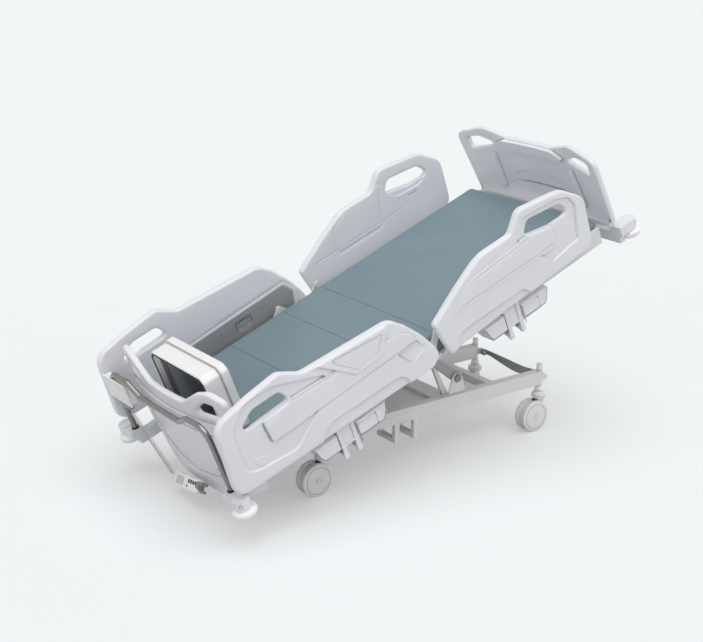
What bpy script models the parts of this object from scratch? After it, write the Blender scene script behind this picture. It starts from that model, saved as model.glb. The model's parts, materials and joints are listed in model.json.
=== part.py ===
"""Hospital bed: a sectional deck that tilts and lifts on a castor base, with split side rails."""
import math

import bmesh
import bpy
from mathutils import Matrix, Vector

# Play between pieces, in metres
CLEARANCE = 0.0003
SWING_GAP = 0.003

# Place of the deck over the base
TILT = math.radians(21.0)
BASE_CENTRE_X = 0.1565
DECK_OFFSET = -0.165
DECK_CENTRE_X = BASE_CENTRE_X + DECK_OFFSET
DECK_CENTRE_Z = 0.589
SIDES = {"left": -1, "right": 1}

# Width of the deck, which the rails, boards and beams go with
DECK_HALF_WIDTH = 0.444
DECK_THICKNESS = 0.016

# Base frame
WHEELBASE = 1.24
TRACK = 0.46
BASE_TUBE_HEIGHT = 0.064
BASE_TUBE_WIDTH = 0.04
BASE_TUBE_TOP = 0.289
BASE_FOOT_OVERHANG = 0.03
HEAD_CROSS_OFFSET = 0.333
HEAD_CROSS_X = BASE_CENTRE_X + HEAD_CROSS_OFFSET
HEAD_CROSS_WIDTH = 0.04
MIDDLE_CROSS_OFFSET = 0.041
MIDDLE_CROSS_X = BASE_CENTRE_X + MIDDLE_CROSS_OFFSET
MIDDLE_CROSS_WIDTH = 0.09
CROSS_HEIGHT = 0.036
CROSS_DROP = 0.004
COVER_DROP = 0.019
COVER_THICKNESS = 0.02
CARRIER_OFFSET = -0.183
CARRIER_PITCH = 0.104
CARRIER_XS = tuple(BASE_CENTRE_X + CARRIER_OFFSET + k * CARRIER_PITCH / 2 for k in (-1, 1))
CARRIER_WIDTH = 0.025
CARRIER_DEPTH = 0.088
CARRIER_REACH = 0.13
CARRIER_BAR = 0.02

# Castors
WHEEL_RADIUS = 0.075
WHEEL_WIDTH = 0.022
WHEEL_GAP = 0.027
WHEEL_TRAIL = 0.042
AXLE_RADIUS = 0.008
SWIVEL_RADIUS = 0.03
SWIVEL_HEIGHT = 0.034
SWIVEL_GAP = 0.005
STEM_RADIUS = 0.0135
STEM_TOP = 0.321

# Brake bar across the head end
BRAKE_REACH = 0.032
BRAKE_Z = 0.25
BRAKE_DROP = 0.04
BRAKE_BOW = 0.04
BRAKE_EYE_RADIUS = 0.016
BRAKE_PIN_RADIUS = 0.006
BRAKE_EYE_WIDTH = 0.016
BRAKE_BAR_HEIGHT = 0.02
BRAKE_PEDAL_HEIGHT = 0.042
BRAKE_BAR_THICKNESS = 0.006

# Lift arms
PIVOT_Z = 0.361
HEAD_PIVOT_OFFSET = 0.116
FOOT_PIVOT_OFFSET = -0.325
HEAD_PIVOT_X = BASE_CENTRE_X + HEAD_PIVOT_OFFSET
FOOT_PIVOT_X = BASE_CENTRE_X + FOOT_PIVOT_OFFSET
ARM_HALF_HEIGHT = 0.018
ARM_WIDTH = 0.028
ARM_INSET = 0.012
PIVOT_PIN_RADIUS = 0.009
SHAFT_RADIUS = 0.012
HEAD_SHAFT_U = 0.052
FOOT_ROLLER_U = -0.48
SHAFT_DROP = 0.024
BRACKET_THICKNESS = 0.008
BRACKET_HALF_BASE = 0.05
BRACKET_TOP_RADIUS = 0.022
BOLT_HEAD_RADIUS = 0.014
BOLT_HEAD_HEIGHT = 0.006
ROLLER_PLAY = 0.0008
POST_WIDTH = 0.03
POST_LEAN = 0.05

# Upper frame, in deck coordinates: u to the head, v across, w up from the deck's top
FRAME_TUBE_INSET = 0.0075
FRAME_TUBE_V = TRACK / 2 - FRAME_TUBE_INSET
FRAME_TUBE_WIDTH = 0.045
FRAME_TUBE_HEIGHT = 0.05
BEAM_WIDTH = 0.04
FOOT_BEAM_SETBACK = 0.002
HEAD_BEAM_SETBACK = 0.03
FOOT_BUMPER_OVERHANG = 0.031
FOOT_BUMPER_V = DECK_HALF_WIDTH + FOOT_BUMPER_OVERHANG
HEAD_BUMPER_OVERHANG = 0.003
HEAD_BUMPER_V = DECK_HALF_WIDTH + HEAD_BUMPER_OVERHANG
FOOT_BUMPER_U = -1.078
HEAD_BUMPER_U = 1.16
CORNER_RADIUS = 0.036
CORNER_ARM_WIDTH = 0.04
CORNER_TOP = 0.018
CORNER_BOTTOM = -0.028
FOOT_BLOCK_LENGTH = 0.095
FOOT_BLOCK_INNER_V = FOOT_BUMPER_V - FOOT_BLOCK_LENGTH
FOOT_BLOCK_DEPTH = 0.06
BUMPER_RADIUS = 0.052
BUMPER_HEIGHT = 0.042
BUMPER_STUB_RADIUS = 0.012
BUMPER_STUB = 0.02
OUTRIGGER_WIDTH = 0.07

# Deck sections
FLANGE_THICKNESS = 0.012
FLANGE_HEIGHT = 0.063
BACK_HINGE_U = 0.02
SEAT_LENGTH = 0.23
THIGH_LENGTH = 0.30
CALF_LENGTH = 0.405
BACK_LENGTH = 0.978
SECTION_GAP = 0.008
EAR_RADIUS = 0.014
EAR_PIN_RADIUS = 0.005
EAR_SETBACK = 0.04

# Mattress
MATTRESS_SIDE_PLAY = 0.004
MATTRESS_HALF_WIDTH = DECK_HALF_WIDTH - FLANGE_THICKNESS - MATTRESS_SIDE_PLAY
MATTRESS_THICKNESS = 0.097
MATTRESS_FOLD_GAP = 0.0012
MATTRESS_EDGE_RADIUS = 0.022
MATTRESS_CROWN = 0.004
MATTRESS_DRAW = 0.004
HINGE_OVER_MATTRESS = 0.002

# Side rails
RAIL_STAND_OFF = 0.026
RAIL_INNER_V = DECK_HALF_WIDTH + RAIL_STAND_OFF
RAIL_THICKNESS = 0.04
RAIL_RIM = 0.012
PANEL_PROUD = 0.004
FIELD_DEPTH = 0.006
SCOOP_DEPTH = 0.009
POCKET_DEPTH = 0.014
# Rail corners are (u, w, corner radius)
FOOT_RAIL = (
    (-1.100, 0.030, 0.060), (-1.078, 0.366, 0.075), (-0.900, 0.398, 0.300), (-0.748, 0.413, 0.050),
    (-0.655, 0.354, 0.060), (-0.205, 0.320, 0.090), (-0.098, 0.218, 0.150), (-0.030, 0.075, 0.050),
    (-0.080, 0.004, 0.045))
FOOT_RAIL_HOLE = ((-1.000, 0.270, 0.020), (-0.905, 0.334, 0.050), (-0.772, 0.335, 0.030),
                  (-0.741, 0.280, 0.012))
FOOT_RAIL_FIELD = (
    (-1.060, 0.065, 0.040), (-1.045, 0.265, 0.040), (-0.930, 0.362, 0.060), (-0.755, 0.372, 0.030),
    (-0.700, 0.290, 0.030), (-0.880, 0.055, 0.040))
FOOT_RAIL_PANEL = (
    (-0.860, 0.165, 0.012), (-0.893, 0.270, 0.015), (-0.560, 0.278, 0.015), (-0.130, 0.262, 0.020),
    (-0.118, 0.232, 0.015), (-0.170, 0.165, 0.012))
FOOT_RAIL_FRAME = ((-0.610, 0.345, 0.020), (-0.240, 0.302, 0.012), (-0.255, 0.262, 0.015),
                   (-0.430, 0.203, 0.015),
                   (-0.540, 0.276, 0.020))
FOOT_RAIL_POCKET = ((-0.170, 0.165, 0.006), (-0.120, 0.228, 0.012), (-0.075, 0.160, 0.015),
                    (-0.118, 0.112, 0.010))
FOOT_RAIL_SCOOP = ((-0.730, -0.01, 0.0), (-0.640, 0.085, 0.030), (-0.260, 0.085, 0.030),
                   (-0.200, -0.01, 0.0))
FOOT_RAIL_PIVOT_U = -0.541
HEAD_RAIL = (
    (0.020, 0.004, 0.015), (-0.022, 0.176, 0.020), (0.140, 0.266, 0.300), (0.290, 0.338, 0.200),
    (0.470, 0.336, 0.040), (0.545, 0.418, 0.050), (0.790, 0.382, 0.120), (0.902, 0.285, 0.070),
    (0.893, 0.045, 0.055))
HEAD_RAIL_HOLE = ((0.545, 0.290, 0.012), (0.578, 0.345, 0.030), (0.765, 0.322, 0.050),
                  (0.812, 0.262, 0.015),
                  (0.690, 0.262, 0.030))
HEAD_RAIL_FIELD = (
    (0.700, 0.060, 0.030), (0.560, 0.262, 0.030), (0.568, 0.372, 0.040), (0.770, 0.352, 0.060),
    (0.862, 0.262, 0.050), (0.858, 0.070, 0.030))
HEAD_RAIL_PANEL = ((0.085, 0.165, 0.010), (0.135, 0.232, 0.020), (0.300, 0.275, 0.030),
                   (0.660, 0.268, 0.020),
                   (0.705, 0.232, 0.020), (0.690, 0.165, 0.012))
HEAD_RAIL_FRAME = ()
HEAD_RAIL_POCKET = ()
HEAD_RAIL_SCOOP = ((0.180, -0.01, 0.0), (0.250, 0.075, 0.030), (0.610, 0.075, 0.030), (0.690, -0.01, 0.0))
HEAD_RAIL_PIVOT_U = 0.405

# Rail link mechanism
LINK_THICKNESS = 0.016
LINK_V = DECK_HALF_WIDTH + SWING_GAP + LINK_THICKNESS / 2
LINK_BAR_WIDTH = 0.02
LINK_BAR_HALF_SPAN = 0.0345
LINK_TOP_W = 0.035
LINK_LENGTH = 0.12
LINK_TAIL = 0.062
LINK_HEAD = 0.010
LINK_TOP_PIN_RADIUS = 0.006
LINK_LOW_PIN_RADIUS = 0.009
LINK_PIN_REACH = 0.006
HOUSING_THICKNESS = 0.108
HOUSING_WALL = 0.018
HOUSING_RAIL_GAP = 0.002
HOUSING_FRONT_V = RAIL_INNER_V - HOUSING_RAIL_GAP
HOUSING_BACK_V = HOUSING_FRONT_V - HOUSING_THICKNESS
HOUSING_TOP_W = -0.0175
HOUSING_DEPTH = 0.1
HOUSING_END_SLOPE = 0.05
HOUSING_TOE = 0.035
HOUSING_SLOT_HALF = 0.05
HOUSING_FOOTWARD = 0.165
HOUSING_HEADWARD = 0.21
FLAP_WIDTH = 0.09
FLAP_HEIGHT = 0.052
FLAP_THICKNESS = 0.008
FLAP_OFFSET = 0.105
FLAP_TOP = 0.016
FLAP_PIN_RADIUS = 0.003
FLAP_RECESS = 0.018

# End boards
BOARD_THICKNESS = 0.028
BOARD_RIM = 0.009
BOARD_STRIPS = 8
BOARD_PEG_INSET = 0.144
BOARD_PEG_V = DECK_HALF_WIDTH - BOARD_PEG_INSET
BOARD_PEG_RADIUS = 0.008
BOARD_PEG_LENGTH = 0.045
BOARD_BOSS_WIDTH = 0.05
BOARD_BOSS_HEIGHT = 0.03
FOOTBOARD_INSET = 0.024
FOOTBOARD_HALF_WIDTH = DECK_HALF_WIDTH - FOOTBOARD_INSET
FOOTBOARD_END_U = -0.945
FOOTBOARD_BOW = 0.055
FOOTBOARD_BOTTOM = -0.15
FOOTBOARD_DIP = 0.322
FOOTBOARD_PEAK = 0.412
FOOTBOARD_TIP = 0.38
FOOTBOARD_LEAN = 0.0
HEADBOARD_OVERHANG = 0.021
HEADBOARD_HALF_WIDTH = DECK_HALF_WIDTH + HEADBOARD_OVERHANG
HEADBOARD_END_U = 1.07
HEADBOARD_LEAN = 0.05
HEADBOARD_BOW = 0.05
HEADBOARD_BOTTOM = 0.03
HEADBOARD_DIP = 0.372
HEADBOARD_PEAK = 0.415
HEADBOARD_TIP = 0.376
HOLE_RIM = 0.054
LIP_DEPTH = 0.014
RIB_DEPTH = 0.012
DISH_DEPTH = 0.005

# Push bar, control box, handset and its curly cord at the foot end
BAR_RADIUS = 0.0125
BAR_SETBACK = 0.008
BAR_U = FOOT_BUMPER_U + BAR_SETBACK
BAR_LEG_INSET = 0.044
BAR_LEG_V = DECK_HALF_WIDTH - BAR_LEG_INSET
BAR_TOP = 0.318
BAR_DIP = 0.264
BAR_BEND = 0.06
BAR_SOCKET_DEPTH = 0.02
BOX_WIDTH = 0.20
BOX_HEIGHT = 0.115
BOX_DEPTH = 0.036
BOX_FRONT = 0.006
POD_WIDTH = 0.10
POD_HEIGHT = 0.04
BOX_INSET = 0.08
BOX_V = DECK_HALF_WIDTH - BOX_INSET
BOX_TOP = 0.295
HANDSET_LENGTH = 0.24
HANDSET_WIDTH = 0.06
HANDSET_THICKNESS = 0.024
HANDSET_CENTRE = (-1.083, 0.01, -0.115)
HANDSET_ROLL = math.radians(45.0)
HANDSET_DROOP = math.radians(12.0)
HOOK_LENGTH = 0.045
CORD_RADIUS = 0.0018
CURL_RADIUS = 0.0082
CURL_COUNT = 38
CURL_POINTS = 8
GLAND_RADIUS = 0.0055
GLAND_LENGTH = 0.016
LEAST_CURL_GAP = 0.0004

# Foot support standing on the calf section
SUPPORT_BACK_U = -0.936
SUPPORT_DEPTH = 0.12
SUPPORT_HALF_WIDTH = 0.226
SUPPORT_HEIGHT = 0.308
SUPPORT_CHAMFER = 0.024
SUPPORT_GROOVE = 0.005
SUPPORT_SCREEN_INSET = 0.006
PAD_THICKNESS = 0.014
PAD_HALF_WIDTH = 0.085
PAD_HEIGHT = 0.24
PAD_OFFSET = 0.105

# Facets
ARC_STEP = math.radians(36.0)
ROUND_SIDES = 16
SMALL_SIDES = 12
PIN_SIDES = 6
EYE_STEPS = 4
WHEEL_SIDES = 20

DECK_FRAME = Matrix.Translation((DECK_CENTRE_X, 0, DECK_CENTRE_Z)) @ Matrix.Rotation(-TILT, 4, "Y")
FRAME_TOP = -DECK_THICKNESS - CLEARANCE
FRAME_BOTTOM = FRAME_TOP - FRAME_TUBE_HEIGHT
SHAFT_W = FRAME_BOTTOM - SHAFT_DROP
BASE_INNER = TRACK / 2 - BASE_TUBE_WIDTH / 2
STEM_XS = {"foot": BASE_CENTRE_X - WHEELBASE / 2, "head": BASE_CENTRE_X + WHEELBASE / 2}
ARM_OUTER = TRACK / 2 - ARM_INSET
ARM_INNER = ARM_OUTER - ARM_WIDTH
SWIVEL_BOTTOM = 2 * WHEEL_RADIUS + SWIVEL_GAP
SWIVEL_TOP = SWIVEL_BOTTOM + SWIVEL_HEIGHT
FOLD_W = CLEARANCE + MATTRESS_THICKNESS + HINGE_OVER_MATTRESS
THIGH_HINGE_U = BACK_HINGE_U - SEAT_LENGTH
KNEE_U = THIGH_HINGE_U - THIGH_LENGTH
LINK_LOW_W = LINK_TOP_W - LINK_LENGTH
FOOT_BEAM_U = FOOTBOARD_END_U - FOOT_BEAM_SETBACK
HEAD_BEAM_U = HEADBOARD_END_U + HEAD_BEAM_SETBACK
ORIGINS = {}


def deck_point(u, v, w):
    """Place of a deck point in the bed's own frame."""
    return DECK_FRAME @ Vector((u, v, w))


def clear_scene():
    """Remove every object of the scene."""
    for item in list(bpy.data.objects):
        bpy.data.objects.remove(item, do_unlink=True)


def finish(name, colour, roughness, metallic=0.0):
    """Plain surface with one colour."""
    made = bpy.data.materials.new(name)
    made.use_nodes = True
    shader = made.node_tree.nodes["Principled BSDF"]
    shader.inputs["Base Color"].default_value = (*colour, 1.0)
    shader.inputs["Roughness"].default_value = roughness
    shader.inputs["Metallic"].default_value = metallic
    made.diffuse_color = (*colour, 1.0)
    return made


# Small shape makers: each returns a closed mesh
def to_mesh(shape):
    """Close a bmesh into a mesh whose faces point out."""
    bmesh.ops.recalc_face_normals(shape, faces=shape.faces)
    mesh = bpy.data.meshes.new("shape")
    shape.to_mesh(mesh)
    shape.free()
    return mesh


def box(low, high):
    """Box between two corners, in any order."""
    shape = bmesh.new()
    bmesh.ops.create_cube(shape, size=1.0)
    low, high = Vector(low), Vector(high)
    for vert in shape.verts:
        vert.co = Vector([(a + b) / 2 + k * abs(b - a) for a, b, k in zip(low, high, vert.co)])
    return to_mesh(shape)


def prism(outline, axis, low, high):
    """Flat outline carried along one axis; its two numbers are the other axes in X, Y, Z order."""
    places = {"X": lambda a, b: (low, a, b), "Y": lambda a, b: (a, low, b), "Z": lambda a, b: (a, b, low)}
    shift = Vector([(high - low) * (axis == name) for name in "XYZ"])
    shape = bmesh.new()
    face = shape.faces.new([shape.verts.new(places[axis](a, b)) for a, b in outline])
    grown = bmesh.ops.extrude_face_region(shape, geom=[face])["geom"]
    moved = [item for item in grown if isinstance(item, bmesh.types.BMVert)]
    bmesh.ops.translate(shape, verts=moved, vec=shift)
    return to_mesh(shape)


def rod(start, end, radius, sides=SMALL_SIDES, end_radius=None):
    """Round bar, or cone, between two points."""
    start, end = Vector(start), Vector(end)
    along = end - start
    turn = along.to_track_quat("Z", "Y").to_matrix().to_4x4()
    shape = bmesh.new()
    bmesh.ops.create_cone(shape, cap_ends=True, segments=sides, radius1=radius,
                          radius2=radius if end_radius is None else end_radius, depth=along.length,
                          matrix=Matrix.Translation((start + end) / 2) @ turn)
    return to_mesh(shape)


def bore(start, end, radius, sides=SMALL_SIDES):
    """Cutter for a hole whose flats clear a pin of the given radius."""
    return rod(start, end, (radius + CLEARANCE) / math.cos(math.pi / sides), sides)


def loft(sections):
    """Skin through rings of points, with both ends closed."""
    shape = bmesh.new()
    rings = [[shape.verts.new(point) for point in ring] for ring in sections]
    for ring, after in zip(rings, rings[1:]):
        for k in range(len(ring)):
            n = (k + 1) % len(ring)
            shape.faces.new((ring[k], ring[n], after[n], after[k]))
    shape.faces.new(rings[0][::-1])
    shape.faces.new(rings[-1])
    return to_mesh(shape)


def turned(profile, centre, axis="Z", sides=ROUND_SIDES):
    """Closed profile of (radius, height) points turned round an axis through centre."""
    shape = bmesh.new()
    lows = [shape.verts.new((r, 0, h)) for r, h in profile]
    edges = [shape.edges.new((a, b)) for a, b in zip(lows, lows[1:] + lows[:1]) if a.co.x + b.co.x > 0]
    bmesh.ops.spin(shape, geom=lows + edges, axis=(0, 0, 1), cent=(0, 0, 0), steps=sides,
                   angle=2 * math.pi, use_merge=True)
    bmesh.ops.remove_doubles(shape, verts=shape.verts, dist=0.00002)
    turn = {"Z": Matrix(), "Y": Matrix.Rotation(-math.pi / 2, 4, "X")}[axis]
    bmesh.ops.transform(shape, matrix=Matrix.Translation(centre) @ turn, verts=shape.verts)
    return to_mesh(shape)


def rounded(corners, closed=True):
    """Outline through (a, b, radius) corners, each turned into an arc of that radius."""
    points = []
    count = len(corners)
    for k, (a, b, radius) in enumerate(corners):
        here = Vector((a, b))
        if radius == 0 or (not closed and k in (0, count - 1)):
            points.append(here)
            continue
        back = Vector(corners[k - 1][:2]) - here
        ahead = Vector(corners[(k + 1) % count][:2]) - here
        half = back.angle(ahead) / 2
        reach = min(radius / math.tan(half), 0.48 * back.length, 0.48 * ahead.length)
        bend = reach * math.tan(half)
        middle = here + (back.normalized() + ahead.normalized()).normalized() * (bend / math.sin(half))
        first = here + back.normalized() * reach - middle
        sweep = first.angle_signed(here + ahead.normalized() * reach - middle)
        steps = max(1, math.ceil(abs(sweep) / ARC_STEP))
        for step in range(steps + 1):
            points.append(middle + Matrix.Rotation(-sweep * step / steps, 2) @ first)
    return [tuple(point) for point in points]


def link_outline(start, end, radius, end_radius=None):
    """Outline of a flat link with a round eye at each end."""
    start, end = Vector(start), Vector(end)
    heading = math.atan2(end.y - start.y, end.x - start.x)
    outline = []
    for centre, size, first in ((end, end_radius or radius, -math.pi / 2), (start, radius, math.pi / 2)):
        for step in range(EYE_STEPS + 1):
            angle = heading + first + math.pi * step / EYE_STEPS
            outline.append(tuple(centre + Vector((math.cos(angle), math.sin(angle))) * size))
    return outline


# Objects
def put(name, mesh, surface=None):
    """Object in the scene, shaded smooth on round stretches."""
    made = bpy.data.objects.new(name, mesh)
    bpy.context.collection.objects.link(made)
    if surface:
        mesh.materials.append(surface)
    mesh.shade_smooth()
    mesh.set_sharp_from_angle(angle=math.radians(35.0))
    return made


def helper(mesh, owner):
    """Hidden object that only shapes another one."""
    made = put("shape_of_" + owner.name, mesh)
    made.hide_render = True
    made.display_type = "WIRE"
    made.parent = owner
    return made


def shaped(owner, operation, meshes):
    """Join or cut an object with meshes in the same coordinates."""
    for mesh in meshes:
        step = owner.modifiers.new(operation.lower(), "BOOLEAN")
        step.operation = operation
        step.solver = "EXACT"
        step.object = helper(mesh, owner)


def solid(name, mesh, surface, add=(), cut=()):
    """Piece made of one mesh, others joined to it, then cuts."""
    made = put(name, mesh, surface)
    shaped(made, "UNION", add)
    shaped(made, "DIFFERENCE", cut)
    return made


def rim(owner, width, segments=2):
    """Rounded rim on an object's sharp edges."""
    step = owner.modifiers.new("rim", "BEVEL")
    step.width = width
    step.segments = segments
    step.limit_method = "ANGLE"
    step.angle_limit = math.radians(50.0)


def baked(owner):
    """Mesh of an object with its modifiers carried out; the object and its helpers go."""
    bpy.context.view_layer.update()
    mesh = bpy.data.meshes.new_from_object(owner.evaluated_get(bpy.context.evaluated_depsgraph_get()))
    for item in list(owner.children) + [owner]:
        bpy.data.objects.remove(item, do_unlink=True)
    return mesh


def pivot(name, place, parent=None):
    """Empty on a joint axis; place is in the coordinates of the pieces that turn on it."""
    empty = bpy.data.objects.new(name, None)
    bpy.context.collection.objects.link(empty)
    empty.empty_display_size = 0.05
    ORIGINS[name] = Vector(place)
    if parent:
        empty.parent = parent
        empty.location = ORIGINS[name] - ORIGINS[parent.name]
    else:
        empty.location = place
    return empty


def hang(piece, axis):
    """Carry a piece on a joint axis."""
    piece.parent = axis
    piece.location = -ORIGINS[axis.name]


# Base
def bracket_outline(pivot_x):
    """Triangular lift bracket with a round top, standing on the base tube."""
    low = BASE_TUBE_TOP - CROSS_DROP
    return rounded(((pivot_x - BRACKET_HALF_BASE, low, 0.0), (pivot_x + BRACKET_HALF_BASE, low, 0.0),
                    (pivot_x + BRACKET_TOP_RADIUS, PIVOT_Z + BRACKET_TOP_RADIUS, BRACKET_TOP_RADIUS * 0.9),
                    (pivot_x - BRACKET_TOP_RADIUS, PIVOT_Z + BRACKET_TOP_RADIUS, BRACKET_TOP_RADIUS * 0.9)))


def carrier(x, side):
    """U-shaped carrier under a base tube."""
    outer = TRACK / 2 + BASE_TUBE_WIDTH / 2
    inner = outer - CARRIER_REACH
    top = BASE_TUBE_TOP - BASE_TUBE_HEIGHT
    low = top - CARRIER_DEPTH
    under_cover = BASE_TUBE_TOP - COVER_DROP - COVER_THICKNESS - CLEARANCE
    outline = ((outer, top + CROSS_DROP), (outer, low), (inner, low), (inner, under_cover),
               (inner + CARRIER_BAR, under_cover), (inner + CARRIER_BAR, low + CARRIER_BAR),
               (outer - CARRIER_BAR, low + CARRIER_BAR), (outer - CARRIER_BAR, top + CROSS_DROP))
    return prism([(side * a, b) for a, b in outline], "X", x - CARRIER_WIDTH / 2, x + CARRIER_WIDTH / 2)


def base_rail(name, side, surface):
    """Base tube with its castor stems, lift brackets, carriers and brake lug."""
    middle = side * TRACK / 2
    end = STEM_XS["head"]
    bottom = BASE_TUBE_TOP - BASE_TUBE_HEIGHT
    tube = box((STEM_XS["foot"] - BASE_FOOT_OVERHANG, middle - BASE_TUBE_WIDTH / 2, bottom),
               (end, middle + BASE_TUBE_WIDTH / 2, BASE_TUBE_TOP))
    plate = (middle - BRACKET_THICKNESS / 2, middle + BRACKET_THICKNESS / 2)
    face = middle + side * BRACKET_THICKNESS / 2
    joined = [rod((x, middle, SWIVEL_TOP + CLEARANCE), (x, middle, STEM_TOP), STEM_RADIUS)
              for x in STEM_XS.values()]
    joined += [prism(bracket_outline(x), "Y", *plate) for x in (HEAD_PIVOT_X, FOOT_PIVOT_X)]
    joined += [carrier(x, side) for x in CARRIER_XS]
    joined.append(rod((HEAD_PIVOT_X, face + side * BOLT_HEAD_HEIGHT, PIVOT_Z),
                      (HEAD_PIVOT_X, middle, PIVOT_Z), BOLT_HEAD_RADIUS))
    joined.append(rod((HEAD_PIVOT_X, middle, PIVOT_Z),
                      (HEAD_PIVOT_X, side * (ARM_INNER - SWING_GAP), PIVOT_Z), PIVOT_PIN_RADIUS))
    lug_end = end + BRAKE_REACH
    joined.append(prism(link_outline((end - STEM_RADIUS, BRAKE_Z), (lug_end, BRAKE_Z), BRAKE_EYE_RADIUS),
                        "Y", *plate))
    joined.append(rod((lug_end, middle, BRAKE_Z), (lug_end, side * (BASE_INNER - BRAKE_EYE_WIDTH), BRAKE_Z),
                      BRAKE_PIN_RADIUS))
    cut = bore((FOOT_PIVOT_X, middle - BASE_TUBE_WIDTH, PIVOT_Z),
               (FOOT_PIVOT_X, middle + BASE_TUBE_WIDTH, PIVOT_Z),
              SHAFT_RADIUS)
    return solid(name, tube, surface, joined, [cut])


def base_cross(name, x, width, surface, add=()):
    """Flat cross beam between the base tubes."""
    half = BASE_INNER - CLEARANCE
    top = BASE_TUBE_TOP - CROSS_DROP
    return solid(name, box((x - width / 2, -half, top - CROSS_HEIGHT), (x + width / 2, half, top)),
                 surface, add)


def arm_stop(side, arm_top):
    """Slanted post on the middle beam that the head lift arm rests on."""
    foot = Vector((MIDDLE_CROSS_X + MIDDLE_CROSS_WIDTH / 2 - POST_WIDTH, BASE_TUBE_TOP - 2 * CROSS_DROP))
    start = Vector((HEAD_PIVOT_X, PIVOT_Z))
    along = (arm_top - start).normalized()
    down = Vector((along.y, -along.x)) if along.x > 0 else Vector((-along.y, along.x))
    under = down * (ARM_HALF_HEIGHT + CLEARANCE) / abs(down.y)
    seat = [start + along * ((start.x - x) / -along.x) + under
            for x in (foot.x - POST_LEAN, foot.x - POST_LEAN + POST_WIDTH)]
    outline = (tuple(foot), (foot.x + POST_WIDTH, foot.y), tuple(seat[1]), tuple(seat[0]))
    return prism(outline, "Y", side * ARM_INNER, side * (BASE_INNER - SWING_GAP))


def build_base(steel, plate, dark):
    """Base tubes, cross beams, cover and brake bar."""
    arm_top = deck_point(HEAD_SHAFT_U, 0, SHAFT_W)
    for word, side in SIDES.items():
        base_rail("base_rail_" + word, side, steel)
    base_cross("base_cross_head", HEAD_CROSS_X, HEAD_CROSS_WIDTH, steel)
    base_cross("base_cross_middle", MIDDLE_CROSS_X, MIDDLE_CROSS_WIDTH, steel,
               [arm_stop(side, Vector((arm_top.x, arm_top.z))) for side in SIDES.values()])
    half = BASE_INNER - CLEARANCE
    top = BASE_TUBE_TOP - COVER_DROP
    head_end = MIDDLE_CROSS_X - MIDDLE_CROSS_WIDTH / 2 - CLEARANCE
    cover = put("base_cover", box((STEM_XS["foot"] - BASE_FOOT_OVERHANG, -half, top - COVER_THICKNESS),
                                  (head_end, half, top)), plate)
    rim(cover, 0.003, 1)
    build_brake_bar(dark)


def build_brake_bar(surface):
    """Bowed brake bar that turns on pins at both head castors."""
    x = STEM_XS["head"] + BRAKE_REACH
    outer = BASE_INNER - CLEARANCE
    span = outer - BRAKE_EYE_WIDTH / 2
    count = 10
    sections = []
    for k in range(count + 1):
        y = span * (2 * k / count - 1)
        bend = math.cos(math.pi * y / (2 * span)) ** 2
        half = (BRAKE_BAR_HEIGHT + (BRAKE_PEDAL_HEIGHT - BRAKE_BAR_HEIGHT) * bend) / 2
        lean = Vector((math.sin(bend), 0, math.cos(bend)))
        flat = Vector((lean.z, 0, -lean.x)) * BRAKE_BAR_THICKNESS / 2
        middle = Vector((x + BRAKE_EYE_RADIUS * 0.7 + BRAKE_BOW * bend, y, BRAKE_Z - BRAKE_DROP * bend))
        sections.append([middle + lean * half + flat, middle - lean * half + flat,
                         middle - lean * half - flat, middle + lean * half - flat])
    eyes = []
    holes = []
    for side in SIDES.values():
        ends = (side * outer, side * (outer - BRAKE_EYE_WIDTH))
        eyes.append(rod((x, ends[0], BRAKE_Z), (x, ends[1], BRAKE_Z), BRAKE_EYE_RADIUS))
        holes.append(bore((x, side * TRACK, BRAKE_Z), (x, side * (outer - 2 * BRAKE_EYE_WIDTH), BRAKE_Z),
                         BRAKE_PIN_RADIUS))
    bar = solid("brake_bar", loft(sections), surface, eyes, holes)
    hang(bar, pivot("brake_axis", (x, 0, BRAKE_Z)))


# Castors
def build_castors(shell, tread):
    """Four twin-wheel castors: a swivelling housing and a wheel pair on one axle."""
    for end, x in STEM_XS.items():
        for word, side in SIDES.items():
            y = side * TRACK / 2
            swivel = pivot("swivel_axis_%s_%s" % (end, word), (x, y, 0))
            spin = pivot("wheel_axis_%s_%s" % (end, word), (x - WHEEL_TRAIL, y, WHEEL_RADIUS), swivel)
            hang(castor_housing("castor_housing_%s_%s" % (end, word), x, y, shell), swivel)
            hang(castor_wheels("castor_wheels_%s_%s" % (end, word), x - WHEEL_TRAIL, y, tread), spin)


def castor_housing(name, x, y, surface):
    """Swivel head over a web that runs down between the two wheels."""
    half = WHEEL_GAP / 2 - CLEARANCE
    web_radius = WHEEL_RADIUS * 0.88
    wheel = Vector((x - WHEEL_TRAIL, WHEEL_RADIUS))
    outline = [tuple(wheel + Vector((math.cos(a), math.sin(a))) * web_radius)
               for a in (math.radians(d) for d in range(60, 271, 30))]
    outline += [(x - WHEEL_TRAIL + web_radius * 0.5, WHEEL_RADIUS * 0.55),
                (x + SWIVEL_RADIUS * 0.7, WHEEL_RADIUS),
                (x + SWIVEL_RADIUS * 0.8, SWIVEL_BOTTOM + SWIVEL_GAP), (x - SWIVEL_RADIUS * 0.8,
                                                                        SWIVEL_BOTTOM + SWIVEL_GAP)]
    head = turned([(0, SWIVEL_BOTTOM), (SWIVEL_RADIUS, SWIVEL_BOTTOM),
                   (SWIVEL_RADIUS, SWIVEL_TOP - SWIVEL_GAP),
                   (SWIVEL_RADIUS - SWIVEL_GAP, SWIVEL_TOP), (0, SWIVEL_TOP)], (x, y, 0), "Z", SMALL_SIDES)
    axle_hole = bore((wheel.x, y - WHEEL_GAP, wheel.y), (wheel.x, y + WHEEL_GAP, wheel.y), AXLE_RADIUS)
    return solid(name, prism(outline, "Y", y - half, y + half), surface, [head], [axle_hole])


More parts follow.
